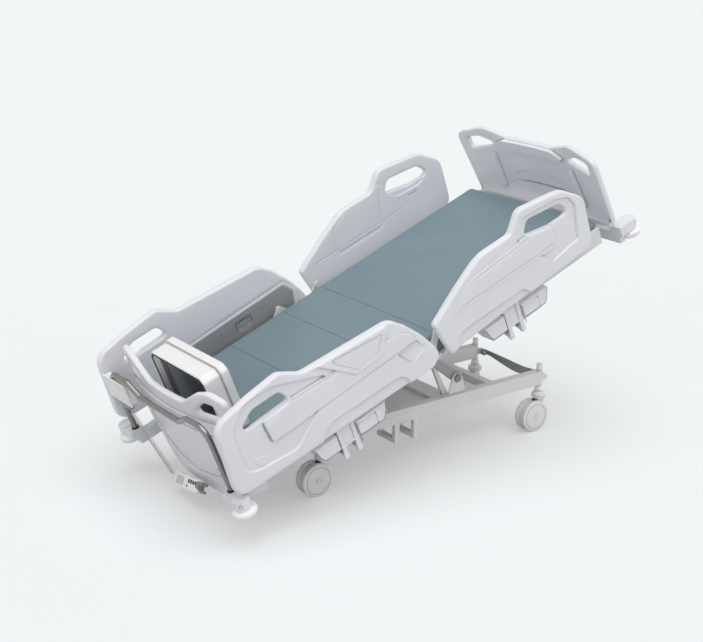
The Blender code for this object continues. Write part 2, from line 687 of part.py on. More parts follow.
def castor_wheels(name, x, y, surface):
    """Two dished wheels on one axle, turned as one piece."""
    inner = WHEEL_GAP / 2
    outer = inner + WHEEL_WIDTH
    edge = WHEEL_RADIUS * 0.07
    half = [(AXLE_RADIUS, inner), (WHEEL_RADIUS, inner), (WHEEL_RADIUS, outer - edge),
            (WHEEL_RADIUS - edge, outer),
            (0, outer - edge / 2)]
    profile = [(r, -h) for r, h in reversed(half)] + half
    return put(name, turned(profile, (x, y, WHEEL_RADIUS), "Y", WHEEL_SIDES), surface)


# Lift arms
def build_lift(steel, bright):
    """Head and foot lift arms with their shafts; returns the axis that the upper frame tilts on."""
    top = deck_point(HEAD_SHAFT_U, 0, SHAFT_W)
    roller = deck_point(FOOT_ROLLER_U, 0, SHAFT_W)
    head_axis = pivot("head_lift_axis", (HEAD_PIVOT_X, 0, PIVOT_Z))
    foot_axis = pivot("foot_lift_axis", (FOOT_PIVOT_X, 0, PIVOT_Z))
    shaft_axis = pivot("head_shaft_axis", top, head_axis)
    half = FRAME_TUBE_V + FRAME_TUBE_WIDTH / 2
    hang(put("head_shaft", rod((top.x, -half, top.z), (top.x, half, top.z), SHAFT_RADIUS), bright),
         shaft_axis)
    reach = TRACK / 2 + BRACKET_THICKNESS / 2 + BOLT_HEAD_HEIGHT
    hang(put("foot_shaft", rod((FOOT_PIVOT_X, -reach, PIVOT_Z), (FOOT_PIVOT_X, reach, PIVOT_Z),
                               SHAFT_RADIUS),
             bright), foot_axis)
    for word, side in SIDES.items():
        ends = (side * ARM_INNER, side * ARM_OUTER)
        arm = lift_arm("head_lift_arm_" + word, (HEAD_PIVOT_X, PIVOT_Z), (top.x, top.z), ends, steel,
                       (PIVOT_PIN_RADIUS, SHAFT_RADIUS))
        hang(arm, head_axis)
        arm = lift_arm("foot_lift_arm_" + word, (FOOT_PIVOT_X, PIVOT_Z), (roller.x, roller.z), ends, steel,
                       (SHAFT_RADIUS,))
        run = side * half
        seat = side * (ARM_OUTER - SWING_GAP)
        wheel = rod((roller.x, seat, roller.z), (roller.x, run, roller.z), SHAFT_DROP - ROLLER_PLAY,
                    ROUND_SIDES)
        shaped(arm, "UNION", [wheel])
        hang(arm, foot_axis)
    tilt = pivot("tilt_axis", (HEAD_SHAFT_U, 0, SHAFT_W))
    tilt.parent = shaft_axis
    tilt.location = (0, 0, 0)
    tilt.rotation_euler = (0, -TILT, 0)
    return tilt


def lift_arm(name, start, end, ends, surface, bores):
    """Flat-sided lift arm with round ends and a bore at one or both of them."""
    cuts = [bore((x, ends[0] - ends[1], z), (x, 2 * ends[1], z), radius)
            for (x, z), radius in zip((start, end), bores)]
    return solid(name, prism(link_outline(start, end, ARM_HALF_HEIGHT * 1.15, ARM_HALF_HEIGHT * 1.05), "Y",
                             *ends),
                 surface, (), cuts)


# Upper frame
def build_frame(tilt, steel, rubber):
    """Frame tubes with lugs and outriggers, end beams with corner blocks, and the roller bumpers."""
    foot_face = FOOT_BEAM_U + BEAM_WIDTH / 2 + CLEARANCE
    head_face = HEAD_BEAM_U - BEAM_WIDTH / 2 - CLEARANCE
    for word, side in SIDES.items():
        inner = side * (FRAME_TUBE_V - FRAME_TUBE_WIDTH / 2)
        outer = side * (FRAME_TUBE_V + FRAME_TUBE_WIDTH / 2)
        tube = box((foot_face, inner, FRAME_BOTTOM), (head_face, outer, FRAME_TOP))
        lug = prism(link_outline((HEAD_SHAFT_U, SHAFT_W), (HEAD_SHAFT_U, FRAME_TOP - SHAFT_DROP),
                                 SHAFT_DROP - 0.002),
                    "Y", side * (ARM_OUTER + SWING_GAP), outer)
        joined = [lug]
        for u in (FOOT_RAIL_PIVOT_U, HEAD_RAIL_PIVOT_U):
            joined.append(box((u - OUTRIGGER_WIDTH / 2, side * FRAME_TUBE_V, FRAME_BOTTOM + CROSS_DROP),
                              (u + OUTRIGGER_WIDTH / 2, side * (HOUSING_BACK_V - CLEARANCE),
                               FRAME_TOP - CROSS_DROP * 2)))
        shaft_hole = bore((HEAD_SHAFT_U, 0, SHAFT_W), (HEAD_SHAFT_U, 2 * outer, SHAFT_W), SHAFT_RADIUS)
        hang(solid("frame_rail_" + word, tube, steel, joined, [shaft_hole]), tilt)
    hang(foot_beam("foot_beam", steel), tilt)
    hang(head_beam("head_beam", steel), tilt)
    for end, u, v in (("foot", FOOT_BUMPER_U, FOOT_BUMPER_V), ("head", HEAD_BUMPER_U, HEAD_BUMPER_V)):
        for word, side in SIDES.items():
            axis = pivot("bumper_axis_%s_%s" % (end, word), (u, side * v, 0), tilt)
            hang(bumper("bumper_%s_%s" % (end, word), u, side * v, rubber), axis)


def beam_ends(beam_u, corner_u, corner_v, forms, cuts):
    """Round corner blocks over the bumpers, with their stub holes and the holes for the board pegs."""
    for side in SIDES.values():
        corner = (corner_u, side * corner_v)
        forms.append(rod((*corner, CORNER_BOTTOM), (*corner, CORNER_TOP), CORNER_RADIUS, ROUND_SIDES))
        cuts.append(bore((*corner, CORNER_BOTTOM - CORNER_RADIUS),
                         (*corner, CORNER_BOTTOM + BUMPER_STUB + CLEARANCE), BUMPER_STUB_RADIUS))
        cuts.append(rod((*corner, CORNER_BOTTOM - CORNER_RADIUS - BUMPER_HEIGHT),
                        (*corner, CORNER_BOTTOM), BUMPER_RADIUS + SWING_GAP, ROUND_SIDES))
        cuts.append(bore((beam_u, side * BOARD_PEG_V, FRAME_TOP + BOARD_PEG_LENGTH),
                         (beam_u, side * BOARD_PEG_V, FRAME_TOP - BOARD_PEG_LENGTH - CLEARANCE),
                         BOARD_PEG_RADIUS))


def cross_beam(beam_u, half_length):
    """Square tube across the end of the frame."""
    return box((beam_u - BEAM_WIDTH / 2, -half_length, FRAME_BOTTOM),
               (beam_u + BEAM_WIDTH / 2, half_length, FRAME_TOP))


def foot_beam(name, surface):
    """Foot cross beam, with an arm to each corner block and the sockets of the push bar in the blocks."""
    arm_v = FOOT_BLOCK_INNER_V + CORNER_ARM_WIDTH
    forms = []
    cuts = []
    beam_ends(FOOT_BEAM_U, FOOT_BUMPER_U, FOOT_BUMPER_V, forms, cuts)
    for side in SIDES.values():
        forms.append(box((FOOT_BEAM_U + BEAM_WIDTH / 2, side * FOOT_BLOCK_INNER_V, FRAME_BOTTOM + CROSS_DROP),
                         (FOOT_BUMPER_U, side * arm_v, FRAME_TOP + CROSS_DROP)))
        forms.append(box((FOOT_BUMPER_U - FOOT_BLOCK_DEPTH / 2, side * FOOT_BLOCK_INNER_V,
                          CORNER_BOTTOM - CROSS_DROP),
                         (FOOT_BUMPER_U + FOOT_BLOCK_DEPTH / 2, side * FOOT_BUMPER_V,
                          CORNER_TOP - CROSS_DROP)))
        cuts.append(bore((BAR_U, side * BAR_LEG_V, CORNER_TOP + BAR_RADIUS),
                         (BAR_U, side * BAR_LEG_V, CORNER_TOP - CROSS_DROP - BAR_SOCKET_DEPTH),
                         BAR_RADIUS, SMALL_SIDES))
    return solid(name, cross_beam(FOOT_BEAM_U, arm_v), surface, forms, cuts)


def head_beam(name, surface):
    """Head cross beam, with short thick arms that run on into the corner blocks."""
    half_length = HEAD_BUMPER_V + CORNER_RADIUS / 2
    forms = []
    cuts = []
    beam_ends(HEAD_BEAM_U, HEAD_BUMPER_U, HEAD_BUMPER_V, forms, cuts)
    for side in SIDES.values():
        sides = [side * (HEAD_BUMPER_V - CORNER_RADIUS), side * (HEAD_BUMPER_V + CORNER_RADIUS)]
        forms.append(box((HEAD_BEAM_U - BEAM_WIDTH / 2, sides[0], CORNER_BOTTOM),
                         (HEAD_BUMPER_U, sides[1], CORNER_TOP)))
    return solid(name, cross_beam(HEAD_BEAM_U, half_length), surface, forms, cuts)


def bumper(name, u, v, surface):
    """Mushroom-shaped roller that turns on a stub under its corner block."""
    top = CORNER_BOTTOM - CLEARANCE
    profile = [(0, top + BUMPER_STUB), (BUMPER_STUB_RADIUS, top + BUMPER_STUB), (BUMPER_STUB_RADIUS, top),
               (BUMPER_RADIUS * 0.62, top)]
    profile += [(BUMPER_RADIUS * (0.72 + 0.28 * math.cos(a)),
                 top - BUMPER_HEIGHT * (0.5 - 0.5 * math.sin(a)))
                for a in (math.radians(d) for d in (50, 0, -70))]
    profile.append((0, top - BUMPER_HEIGHT))
    return put(name, turned(list(reversed(profile)), (u, v, 0)), surface)


# Deck and mattress
def deck_section(name, low, high, surface, ears=()):
    """Deck panel with side flanges, and hinge ears at the fold line: (fold u, towards, own pin)."""
    panel = box((low, -DECK_HALF_WIDTH, -DECK_THICKNESS), (high, DECK_HALF_WIDTH, 0))
    joined = []
    cuts = []
    for side in SIDES.values():
        outer = side * DECK_HALF_WIDTH
        inner = outer - side * FLANGE_THICKNESS
        near = low + EAR_SETBACK * any(towards < 0 for _, towards, _ in ears)
        far = high - EAR_SETBACK * any(towards > 0 for _, towards, _ in ears)
        joined.append(box((near, inner, -DECK_THICKNESS / 2), (far, outer, FLANGE_HEIGHT)))
        for fold, towards, own_pin in ears:
            middle = outer - side * FLANGE_THICKNESS / 2
            ear = (middle + side * SWING_GAP / 8, outer) if own_pin else (inner,
                                                                          middle - side * SWING_GAP / 8)
            root = fold - towards * (EAR_SETBACK + EAR_RADIUS)
            outline = link_outline((root, FLANGE_HEIGHT / 2), (fold, FOLD_W), EAR_RADIUS * 1.6, EAR_RADIUS)
            joined.append(prism(outline, "Y", *ear))
            if own_pin:
                joined.append(rod((fold, outer, FOLD_W), (fold, inner, FOLD_W), EAR_PIN_RADIUS, PIN_SIDES))
            else:
                cuts.append(bore((fold, side * MATTRESS_HALF_WIDTH, FOLD_W), (fold, outer, FOLD_W),
                                 EAR_PIN_RADIUS, PIN_SIDES))
    return solid(name, panel, surface, joined, cuts)


def mattress_section(name, low, high, surface, round_low=False, round_high=False):
    """Mattress length with a crown, rounded long edges and sides drawn in towards its ends."""
    count = 6
    sections = []
    for k in range(count + 1):
        t = 2 * k / count - 1
        swell = 1 - t ** 6
        tuck = MATTRESS_EDGE_RADIUS * 0.5 * ((round_low and k == 0) or (round_high and k == count))
        half = MATTRESS_HALF_WIDTH - MATTRESS_DRAW * (1 - swell) - tuck
        top = MATTRESS_THICKNESS - MATTRESS_CROWN * (1 - swell) - tuck
        u = low + (high - low) * (t + 1) / 2
        radius = MATTRESS_EDGE_RADIUS
        arc = [(half - radius + radius * math.sin(a), top - radius + radius * math.cos(a))
               for a in (math.radians(d) for d in (0, 30, 60, 90))]
        foot = [(half, radius + tuck), (half - radius * 0.3, tuck + radius * 0.3), (half - radius, tuck)]
        edge = [(0.5 * half, top)] + arc + foot
        ring = edge + [(-v, w) for v, w in reversed(edge)]
        sections.append([(u, v, w + CLEARANCE) for v, w in ring])
    return put(name, loft(sections), surface)


def build_deck(tilt, panel, fabric):
    """Back, seat, thigh and calf sections, each with its length of mattress."""
    back_axis = pivot("back_axis", (BACK_HINGE_U, 0, FOLD_W), tilt)
    thigh_axis = pivot("thigh_axis", (THIGH_HINGE_U, 0, FOLD_W), tilt)
    calf_axis = pivot("calf_axis", (KNEE_U, 0, -DECK_THICKNESS / 2), thigh_axis)
    half = SECTION_GAP / 2
    head_end = BACK_HINGE_U + BACK_LENGTH
    foot_end = KNEE_U - CALF_LENGTH
    fold = MATTRESS_FOLD_GAP / 2
    rows = (("back", BACK_HINGE_U, head_end, back_axis, ((BACK_HINGE_U, -1, False),)),
            ("seat", THIGH_HINGE_U, BACK_HINGE_U, tilt, ((BACK_HINGE_U, 1, True), (THIGH_HINGE_U, -1,
                                                                                   True))),
            ("thigh", KNEE_U, THIGH_HINGE_U, thigh_axis, ((THIGH_HINGE_U, 1, False),)),
            ("calf", foot_end, KNEE_U, calf_axis, ()))
    for word, low, high, axis, ears in rows:
        hang(deck_section(word + "_deck", low + half, high - half, panel, ears), axis)
        hang(mattress_section(word + "_mattress", low + fold, high - fold, fabric, word == "calf",
                              word == "back"), axis)
    return calf_axis


# Side rails
def flat_form(corners, side, low, high):
    """Rounded outline in the rail's plane, carried between two distances from the bed's middle."""
    return prism(rounded(corners), "Y", side * low, side * high)


def side_rail(name, side, forms, pivot_u, surface):
    """Moulded side rail: rounded plate with a hand hole, raised panels, scooped recesses and a link lug."""
    outline, hole, field, panel, frame, pocket, scoop = forms
    outer = RAIL_INNER_V + RAIL_THICKNESS
    made = put(name, flat_form(outline, side, RAIL_INNER_V, outer), surface)
    shaped(made, "DIFFERENCE", [flat_form(hole, side, RAIL_INNER_V - RAIL_RIM, outer + RAIL_RIM)])
    rim(made, RAIL_RIM)
    shaped(made, "DIFFERENCE", [flat_form(field, side, outer - FIELD_DEPTH, outer + RAIL_RIM)])
    raised = [(panel, PANEL_PROUD)] + ([(frame, 1.8 * PANEL_PROUD)] if frame else [])
    shaped(made, "UNION", [flat_form(form, side, outer - RAIL_RIM, outer + proud) for form,
                           proud in raised])
    sunk = [(scoop, SCOOP_DEPTH)] + ([(pocket, POCKET_DEPTH)] if pocket else [])
    shaped(made, "DIFFERENCE", [flat_form(form, side, outer - depth, outer + RAIL_RIM) for form,
                                depth in sunk])
    lug_half = LINK_BAR_HALF_SPAN - LINK_BAR_WIDTH / 2 - SWING_GAP
    lug_low = LINK_V - LINK_THICKNESS / 2
    lug = box((pivot_u - lug_half, side * lug_low, LINK_TOP_W - 0.017),
              (pivot_u + lug_half, side * (RAIL_INNER_V + RAIL_RIM), LINK_TOP_W + 0.017))
    reach = LINK_BAR_HALF_SPAN + LINK_BAR_WIDTH / 2 + LINK_PIN_REACH
    pin = rod((pivot_u - reach, side * LINK_V, LINK_TOP_W), (pivot_u + reach, side * LINK_V, LINK_TOP_W),
              LINK_TOP_PIN_RADIUS)
    shaped(made, "UNION", [lug, pin])
    return made


def rail_link(name, side, u, surface):
    """Two link bars on a cross web, with the low pivot pin running through them."""
    inner = side * (LINK_V - LINK_THICKNESS / 2)
    outer = side * (LINK_V + LINK_THICKNESS / 2)
    bars = [box((u + k * LINK_BAR_HALF_SPAN - LINK_BAR_WIDTH / 2, inner, LINK_LOW_W - LINK_TAIL),
                (u + k * LINK_BAR_HALF_SPAN + LINK_BAR_WIDTH / 2, outer,
                 LINK_TOP_W + LINK_HEAD)) for k in (-1, 1)]
    web = box((u - LINK_BAR_HALF_SPAN, side * (LINK_V - LINK_THICKNESS / 4), LINK_LOW_W - LINK_HEAD),
              (u + LINK_BAR_HALF_SPAN, side * (LINK_V + LINK_THICKNESS / 4), LINK_TOP_W - LINK_LENGTH / 3))
    reach = HOUSING_SLOT_HALF + LINK_PIN_REACH
    pin = rod((u - reach, side * LINK_V, LINK_LOW_W), (u + reach, side * LINK_V, LINK_LOW_W),
              LINK_LOW_PIN_RADIUS, PIN_SIDES)
    span = LINK_BAR_HALF_SPAN + LINK_BAR_WIDTH
    pin_hole = bore((u - span, side * LINK_V, LINK_TOP_W), (u + span, side * LINK_V, LINK_TOP_W),
                    LINK_TOP_PIN_RADIUS)
    return solid(name, bars[0], surface, [bars[1], web, pin], [pin_hole])


def rail_housing(name, side, u, surface):
    """Moulded cover of the link: slanted ends, chamfered toe, a slot for the bars and a flap recess."""
    low, high = u - HOUSING_FOOTWARD, u + HOUSING_HEADWARD
    bottom = HOUSING_TOP_W - HOUSING_DEPTH
    outline = ((low, HOUSING_TOP_W), (low + HOUSING_END_SLOPE * 0.3, HOUSING_TOP_W - HOUSING_DEPTH * 0.45),
               (low + HOUSING_END_SLOPE, bottom), (high - HOUSING_END_SLOPE, bottom),
               (high - HOUSING_END_SLOPE * 0.3, HOUSING_TOP_W - HOUSING_DEPTH * 0.45), (high,
                                                                                        HOUSING_TOP_W))
    body = prism(outline, "Y", side * HOUSING_BACK_V, side * HOUSING_FRONT_V)
    toe = ((side * (HOUSING_FRONT_V + HOUSING_TOE / 10), bottom + HOUSING_TOE),
           (side * (HOUSING_FRONT_V - HOUSING_TOE), bottom - CLEARANCE),
           (side * (HOUSING_FRONT_V + HOUSING_TOE), bottom - CLEARANCE))
    cuts = [prism(toe, "X", low - HOUSING_TOE, high + HOUSING_TOE)]
    cuts.append(box((u - HOUSING_SLOT_HALF, side * (HOUSING_BACK_V + HOUSING_WALL), bottom - HOUSING_TOE),
                    (u + HOUSING_SLOT_HALF, side * (HOUSING_FRONT_V + HOUSING_TOE),
                     HOUSING_TOP_W + HOUSING_TOE)))
    reach = HOUSING_SLOT_HALF + LINK_PIN_REACH + CLEARANCE
    cuts.append(bore((u - reach, side * LINK_V, LINK_LOW_W), (u + reach, side * LINK_V, LINK_LOW_W),
                     LINK_LOW_PIN_RADIUS, PIN_SIDES))
    flap_u = u + FLAP_OFFSET
    half = FLAP_WIDTH / 2 + CLEARANCE
    axis_w = flap_axis_w()
    cuts.append(box((flap_u - half, side * (HOUSING_FRONT_V - FLAP_RECESS),
                     axis_w - FLAP_HEIGHT - CLEARANCE),
                    (flap_u + half, side * (HOUSING_FRONT_V + HOUSING_TOE),
                     axis_w + FLAP_THICKNESS / 2 + CLEARANCE)))
    pin = half + FLAP_PIN_RADIUS + CLEARANCE
    cuts.append(bore((flap_u - pin, side * flap_axis_v(), axis_w),
                     (flap_u + pin, side * flap_axis_v(), axis_w), FLAP_PIN_RADIUS, PIN_SIDES))
    return solid(name, body, surface, (), cuts)


def flap_axis_w():
    """Height of the release flap's hinge."""
    return HOUSING_TOP_W - FLAP_TOP


def flap_axis_v():
    """Distance of the release flap's hinge from the bed's middle."""
    return HOUSING_FRONT_V - FLAP_THICKNESS / 2 - CLEARANCE


def release_flap(name, side, u, surface):
    """Rail release flap hung on two stub pins along its top edge."""
    v, w = flap_axis_v(), flap_axis_w()
    plate = link_outline((side * v, w - FLAP_HEIGHT + FLAP_THICKNESS / 2), (side * v, w),
                         FLAP_THICKNESS / 2)
    flap_u = u + FLAP_OFFSET
    body = prism(plate, "X", flap_u - FLAP_WIDTH / 2, flap_u + FLAP_WIDTH / 2)
    reach = FLAP_WIDTH / 2 + FLAP_PIN_RADIUS
    pin = rod((flap_u - reach, side * v, w), (flap_u + reach, side * v, w), FLAP_PIN_RADIUS, PIN_SIDES)
    return solid(name, body, surface, [pin])


def build_side_rails(tilt, shell, steel):
    """Head and foot rails on both sides, with links, housings and release flaps."""
    foot = (FOOT_RAIL, FOOT_RAIL_HOLE, FOOT_RAIL_FIELD, FOOT_RAIL_PANEL, FOOT_RAIL_FRAME, FOOT_RAIL_POCKET,
            FOOT_RAIL_SCOOP)
    head = (HEAD_RAIL, HEAD_RAIL_HOLE, HEAD_RAIL_FIELD, HEAD_RAIL_PANEL, HEAD_RAIL_FRAME, HEAD_RAIL_POCKET,
            HEAD_RAIL_SCOOP)
    for end, forms, u in (("foot", foot, FOOT_RAIL_PIVOT_U), ("head", head, HEAD_RAIL_PIVOT_U)):
        for word, side in SIDES.items():
            place = "%s_%s" % (end, word)
            low_axis = pivot("link_axis_" + place, (u, side * LINK_V, LINK_LOW_W), tilt)
            rail_axis = pivot("rail_axis_" + place, (u, side * LINK_V, LINK_TOP_W), low_axis)
            flap = pivot("flap_axis_" + place, (u + FLAP_OFFSET, side * flap_axis_v(), flap_axis_w()), tilt)
            hang(side_rail("side_rail_" + place, side, forms, u, shell), rail_axis)
            hang(rail_link("rail_link_" + place, side, u, steel), low_axis)
            hang(rail_housing("rail_housing_" + place, side, u, shell), tilt)
            hang(release_flap("release_flap_" + place, side, u, shell), flap)


# End boards
def bow_offset(v, end_u, bow, half_width, away):
    """Inner face of a board that is bowed away from the mattress in straight strips."""
    place = (v / half_width + 1) * BOARD_STRIPS / 2
    strip = min(max(math.floor(place), 0), BOARD_STRIPS - 1)
    low, high = (1 - (2 * k / BOARD_STRIPS - 1) ** 2 for k in (strip, strip + 1))
    return end_u + away * bow * (low + (high - low) * (place - strip))


def bent(mesh, end_u, bow, half_width, away, lean):
    """Flat board cut into strips, bowed in plan and leaning in towards its top."""
    low = min(vert.co.z for vert in mesh.vertices)
    high = max(vert.co.z for vert in mesh.vertices)
    shape = bmesh.new()
    shape.from_mesh(mesh)
    for k in range(1, BOARD_STRIPS):
        v = half_width * (2 * k / BOARD_STRIPS - 1)
        bmesh.ops.bisect_plane(shape, geom=shape.verts[:] + shape.edges[:] + shape.faces[:], dist=0.00001,
                               plane_co=(0, v, 0), plane_no=(0, 1, 0))
    for vert in shape.verts:
        vert.co.x += bow_offset(vert.co.y, end_u, bow, half_width, away)
        vert.co.x -= away * lean * (vert.co.z - low) / (high - low)
    return to_mesh(shape)


def mirrored(half):
    """Outline from the corners of its +v half, listed from the middle outwards."""
    return list(half) + [(-v, w, r) for v, w, r in reversed(half) if v > 0]


def hand_hole(low, drop, peak, tip, half_width):
    """Hand hole under a board's raised shoulder, with its lower edge falling outwards."""
    return ((half_width * 0.47, low, 0.012), (half_width * 0.71, peak - HOLE_RIM, 0.03),
            (half_width * 0.87, tip - HOLE_RIM / 2, 0.02), (half_width * 0.875, low - drop, 0.015))


def board(name, half, holes, sunk, raised, end_u, bow, half_width, away, lean, peg_u, surface):
    """Bowed end board with hand holes, sunk and raised forms, and pegs that stand in its beam."""
    outer = away * BOARD_THICKNESS
    flat = put(name, prism(rounded(mirrored(half)), "X", 0, outer), surface)
    past = away * BOARD_RIM
    shaped(flat, "DIFFERENCE", [prism(rounded([(s * v, w, r) for v, w, r in hole]), "X", -past,
                                      outer + past)
                                for hole in holes for s in SIDES.values()])
    rim(flat, BOARD_RIM, 1)
    shaped(flat, "DIFFERENCE", [prism(rounded(form), "X", a, b) for form, a, b in sunk])
    shaped(flat, "UNION", [prism(rounded(form), "X", a, b) for form, a, b in raised])
    mesh = bent(baked(flat), end_u, bow, half_width, away, lean)
    made = put(name, mesh, surface)
    face = bow_offset(BOARD_PEG_V, end_u, bow, half_width, away)
    low = max(half[0][1], FRAME_TOP) + CLEARANCE
    joined = []
    for side in SIDES.values():
        v = side * BOARD_PEG_V
        joined.append(box((face + away * BOARD_THICKNESS / 2, v - BOARD_BOSS_WIDTH / 2, low),
                          (peg_u - away * (BOARD_PEG_RADIUS + SWING_GAP), v + BOARD_BOSS_WIDTH / 2,
                           low + BOARD_BOSS_HEIGHT)))
        joined.append(rod((peg_u, v, low + BOARD_BOSS_HEIGHT / 2),
                          (peg_u, v, FRAME_TOP - BOARD_PEG_LENGTH), BOARD_PEG_RADIUS))
    shaped(made, "UNION", joined)
    return made


def build_boards(tilt, shell):
    """Footboard and headboard, each lifting off along the frame's upright direction."""
    w2 = FOOTBOARD_HALF_WIDTH
    dip = FOOTBOARD_DIP
    foot_half = ((0.0, FOOTBOARD_BOTTOM, 0.0), (w2 * 0.50, FOOTBOARD_BOTTOM, 0.10),
                 (w2 * 0.73, -0.045, 0.05), (w2 * 0.78, -0.010, 0.015), (w2, 0.005, 0.04),
                 (w2, FOOTBOARD_TIP, 0.04), (w2 * 0.80, FOOTBOARD_PEAK, 0.05),
                 (w2 * 0.62, FOOTBOARD_PEAK - 0.02, 0.05), (w2 * 0.33, dip, 0.06), (0.0, dip, 0.0))
    outer = -BOARD_THICKNESS
    arc = ((0.0, -0.085, 0.0), (w2 * 0.45, -0.06, 0.20), (w2 * 0.84, 0.06, 0.10),
           (w2 * 0.74, dip - 0.13, 0.03), (0.0, dip - 0.13, 0.0))
    ledge = ((0.0, dip - 0.095, 0.0), (w2 * 0.80, dip - 0.095, 0.01), (w2 * 0.82, dip - 0.062, 0.01),
             (0.0, dip - 0.062, 0.0))
    axis = pivot("footboard_axis", (FOOTBOARD_END_U, 0, 0), tilt)
    holes = [hand_hole(dip - 0.035, 0.0, FOOTBOARD_PEAK, FOOTBOARD_TIP, w2)]
    hang(board("footboard", foot_half, holes, [(mirrored(arc), outer + DISH_DEPTH, outer - RIB_DEPTH)],
               [(mirrored(ledge), outer / 2, outer - RIB_DEPTH / 2)], FOOTBOARD_END_U, FOOTBOARD_BOW, w2, -1,
               FOOTBOARD_LEAN, FOOT_BEAM_U, shell), axis)
    h2 = HEADBOARD_HALF_WIDTH
    dip = HEADBOARD_DIP
    head_half = ((0.0, HEADBOARD_BOTTOM, 0.0), (h2 * 0.97, HEADBOARD_BOTTOM, 0.03), (h2, HEADBOARD_TIP, 0.05),
                 (h2 * 0.62, HEADBOARD_PEAK, 0.08), (h2 * 0.31, dip, 0.06), (0.0, dip, 0.0))
    lip = ((0.0, dip - 0.058, 0.0), (h2 * 0.42, dip - 0.058, 0.01), (h2 * 0.50, dip - 0.038, 0.006),
           (h2 * 0.36, dip - 0.008, 0.01), (0.0, dip - 0.008, 0.0))
    turns = [2 * math.pi * k / 20 for k in range(20)]
    dish = [(h2 * 0.42 * math.cos(a), 0.135 + 0.07 * math.sin(a), 0.0) for a in turns]
    ribs = [((s * (h2 * 0.59 - 0.012), 0.08, 0.0), (s * (h2 * 0.59 + 0.012), 0.08, 0.0),
             (s * (h2 * 0.56 + 0.006), 0.275, 0.0),
             (s * (h2 * 0.56 - 0.006), 0.275, 0.0)) for s in SIDES.values()]
    raised = [(rib, BOARD_THICKNESS / 2, -RIB_DEPTH) for rib in ribs]
    raised.append((mirrored(lip), BOARD_THICKNESS / 2, -LIP_DEPTH))
    axis = pivot("headboard_axis", (HEADBOARD_END_U, 0, 0), tilt)
    holes = [hand_hole(dip - 0.047, 0.038, HEADBOARD_PEAK, HEADBOARD_TIP, h2)]
    hang(board("headboard", head_half, holes, [(dish, DISH_DEPTH, -RIB_DEPTH)], raised, HEADBOARD_END_U,
               HEADBOARD_BOW, h2, 1, HEADBOARD_LEAN, HEAD_BEAM_U, shell), axis)
    return bpy.data.objects["footboard_axis"]


# Foot-end controls
def tube_curve(name, points, radius, resolution, surface):
    """Round tube along a list of points, with closed ends."""
    curve = bpy.data.curves.new(name, "CURVE")
    curve.dimensions = "3D"
    curve.bevel_depth = radius
    curve.bevel_resolution = resolution
    curve.use_fill_caps = True
    spline = curve.splines.new("POLY")
    spline.points.add(len(points) - 1)
    for slot, point in zip(spline.points, points):
        slot.co = (*point, 1.0)
    curve.materials.append(surface)
    made = bpy.data.objects.new(name, curve)
    bpy.context.collection.objects.link(made)
    return made


def handset_frame():
    """Turned place of the handset: its length drops towards the left and its keys face up and out."""
    return (Matrix.Translation(HANDSET_CENTRE) @ Matrix.Rotation(-HANDSET_DROOP, 4,
                                                                 "X") @ Matrix.Rotation(-HANDSET_ROLL, 4,
                                                                                        "Y"))


def moved(mesh, matrix):
    """Mesh carried to another place."""
    mesh.transform(matrix)
    return mesh


def curly_points(start, end):
    """Helix between two points with a short straight lead at both ends."""
    along = (end - start).normalized()
    first = along.orthogonal().normalized()
    second = along.cross(first)
    lead = 2 * CORD_RADIUS
    run = (end - start).length - 2 * lead
    total = CURL_COUNT * CURL_POINTS
    points = [start, start + along * lead]
    for k in range(1, total):
        grow = min(1.0, k / CURL_POINTS, (total - k) / CURL_POINTS)
        turn = 2 * math.pi * k / CURL_POINTS
        spoke = (first * math.cos(turn) + second * math.sin(turn)) * CURL_RADIUS * grow
        points.append(start + along * (lead + run * k / total) + spoke)
    return points + [end - along * lead, end]


def least_gap(points):
    """Least gap between the tube and its own neighbouring turns."""
    skip = CURL_POINTS * 3 // 4
    near = min((points[j] - points[k]).length for k in range(len(points))
               for j in range(k + skip, min(len(points), k + 2 * CURL_POINTS)))
    return near - 2 * CORD_RADIUS


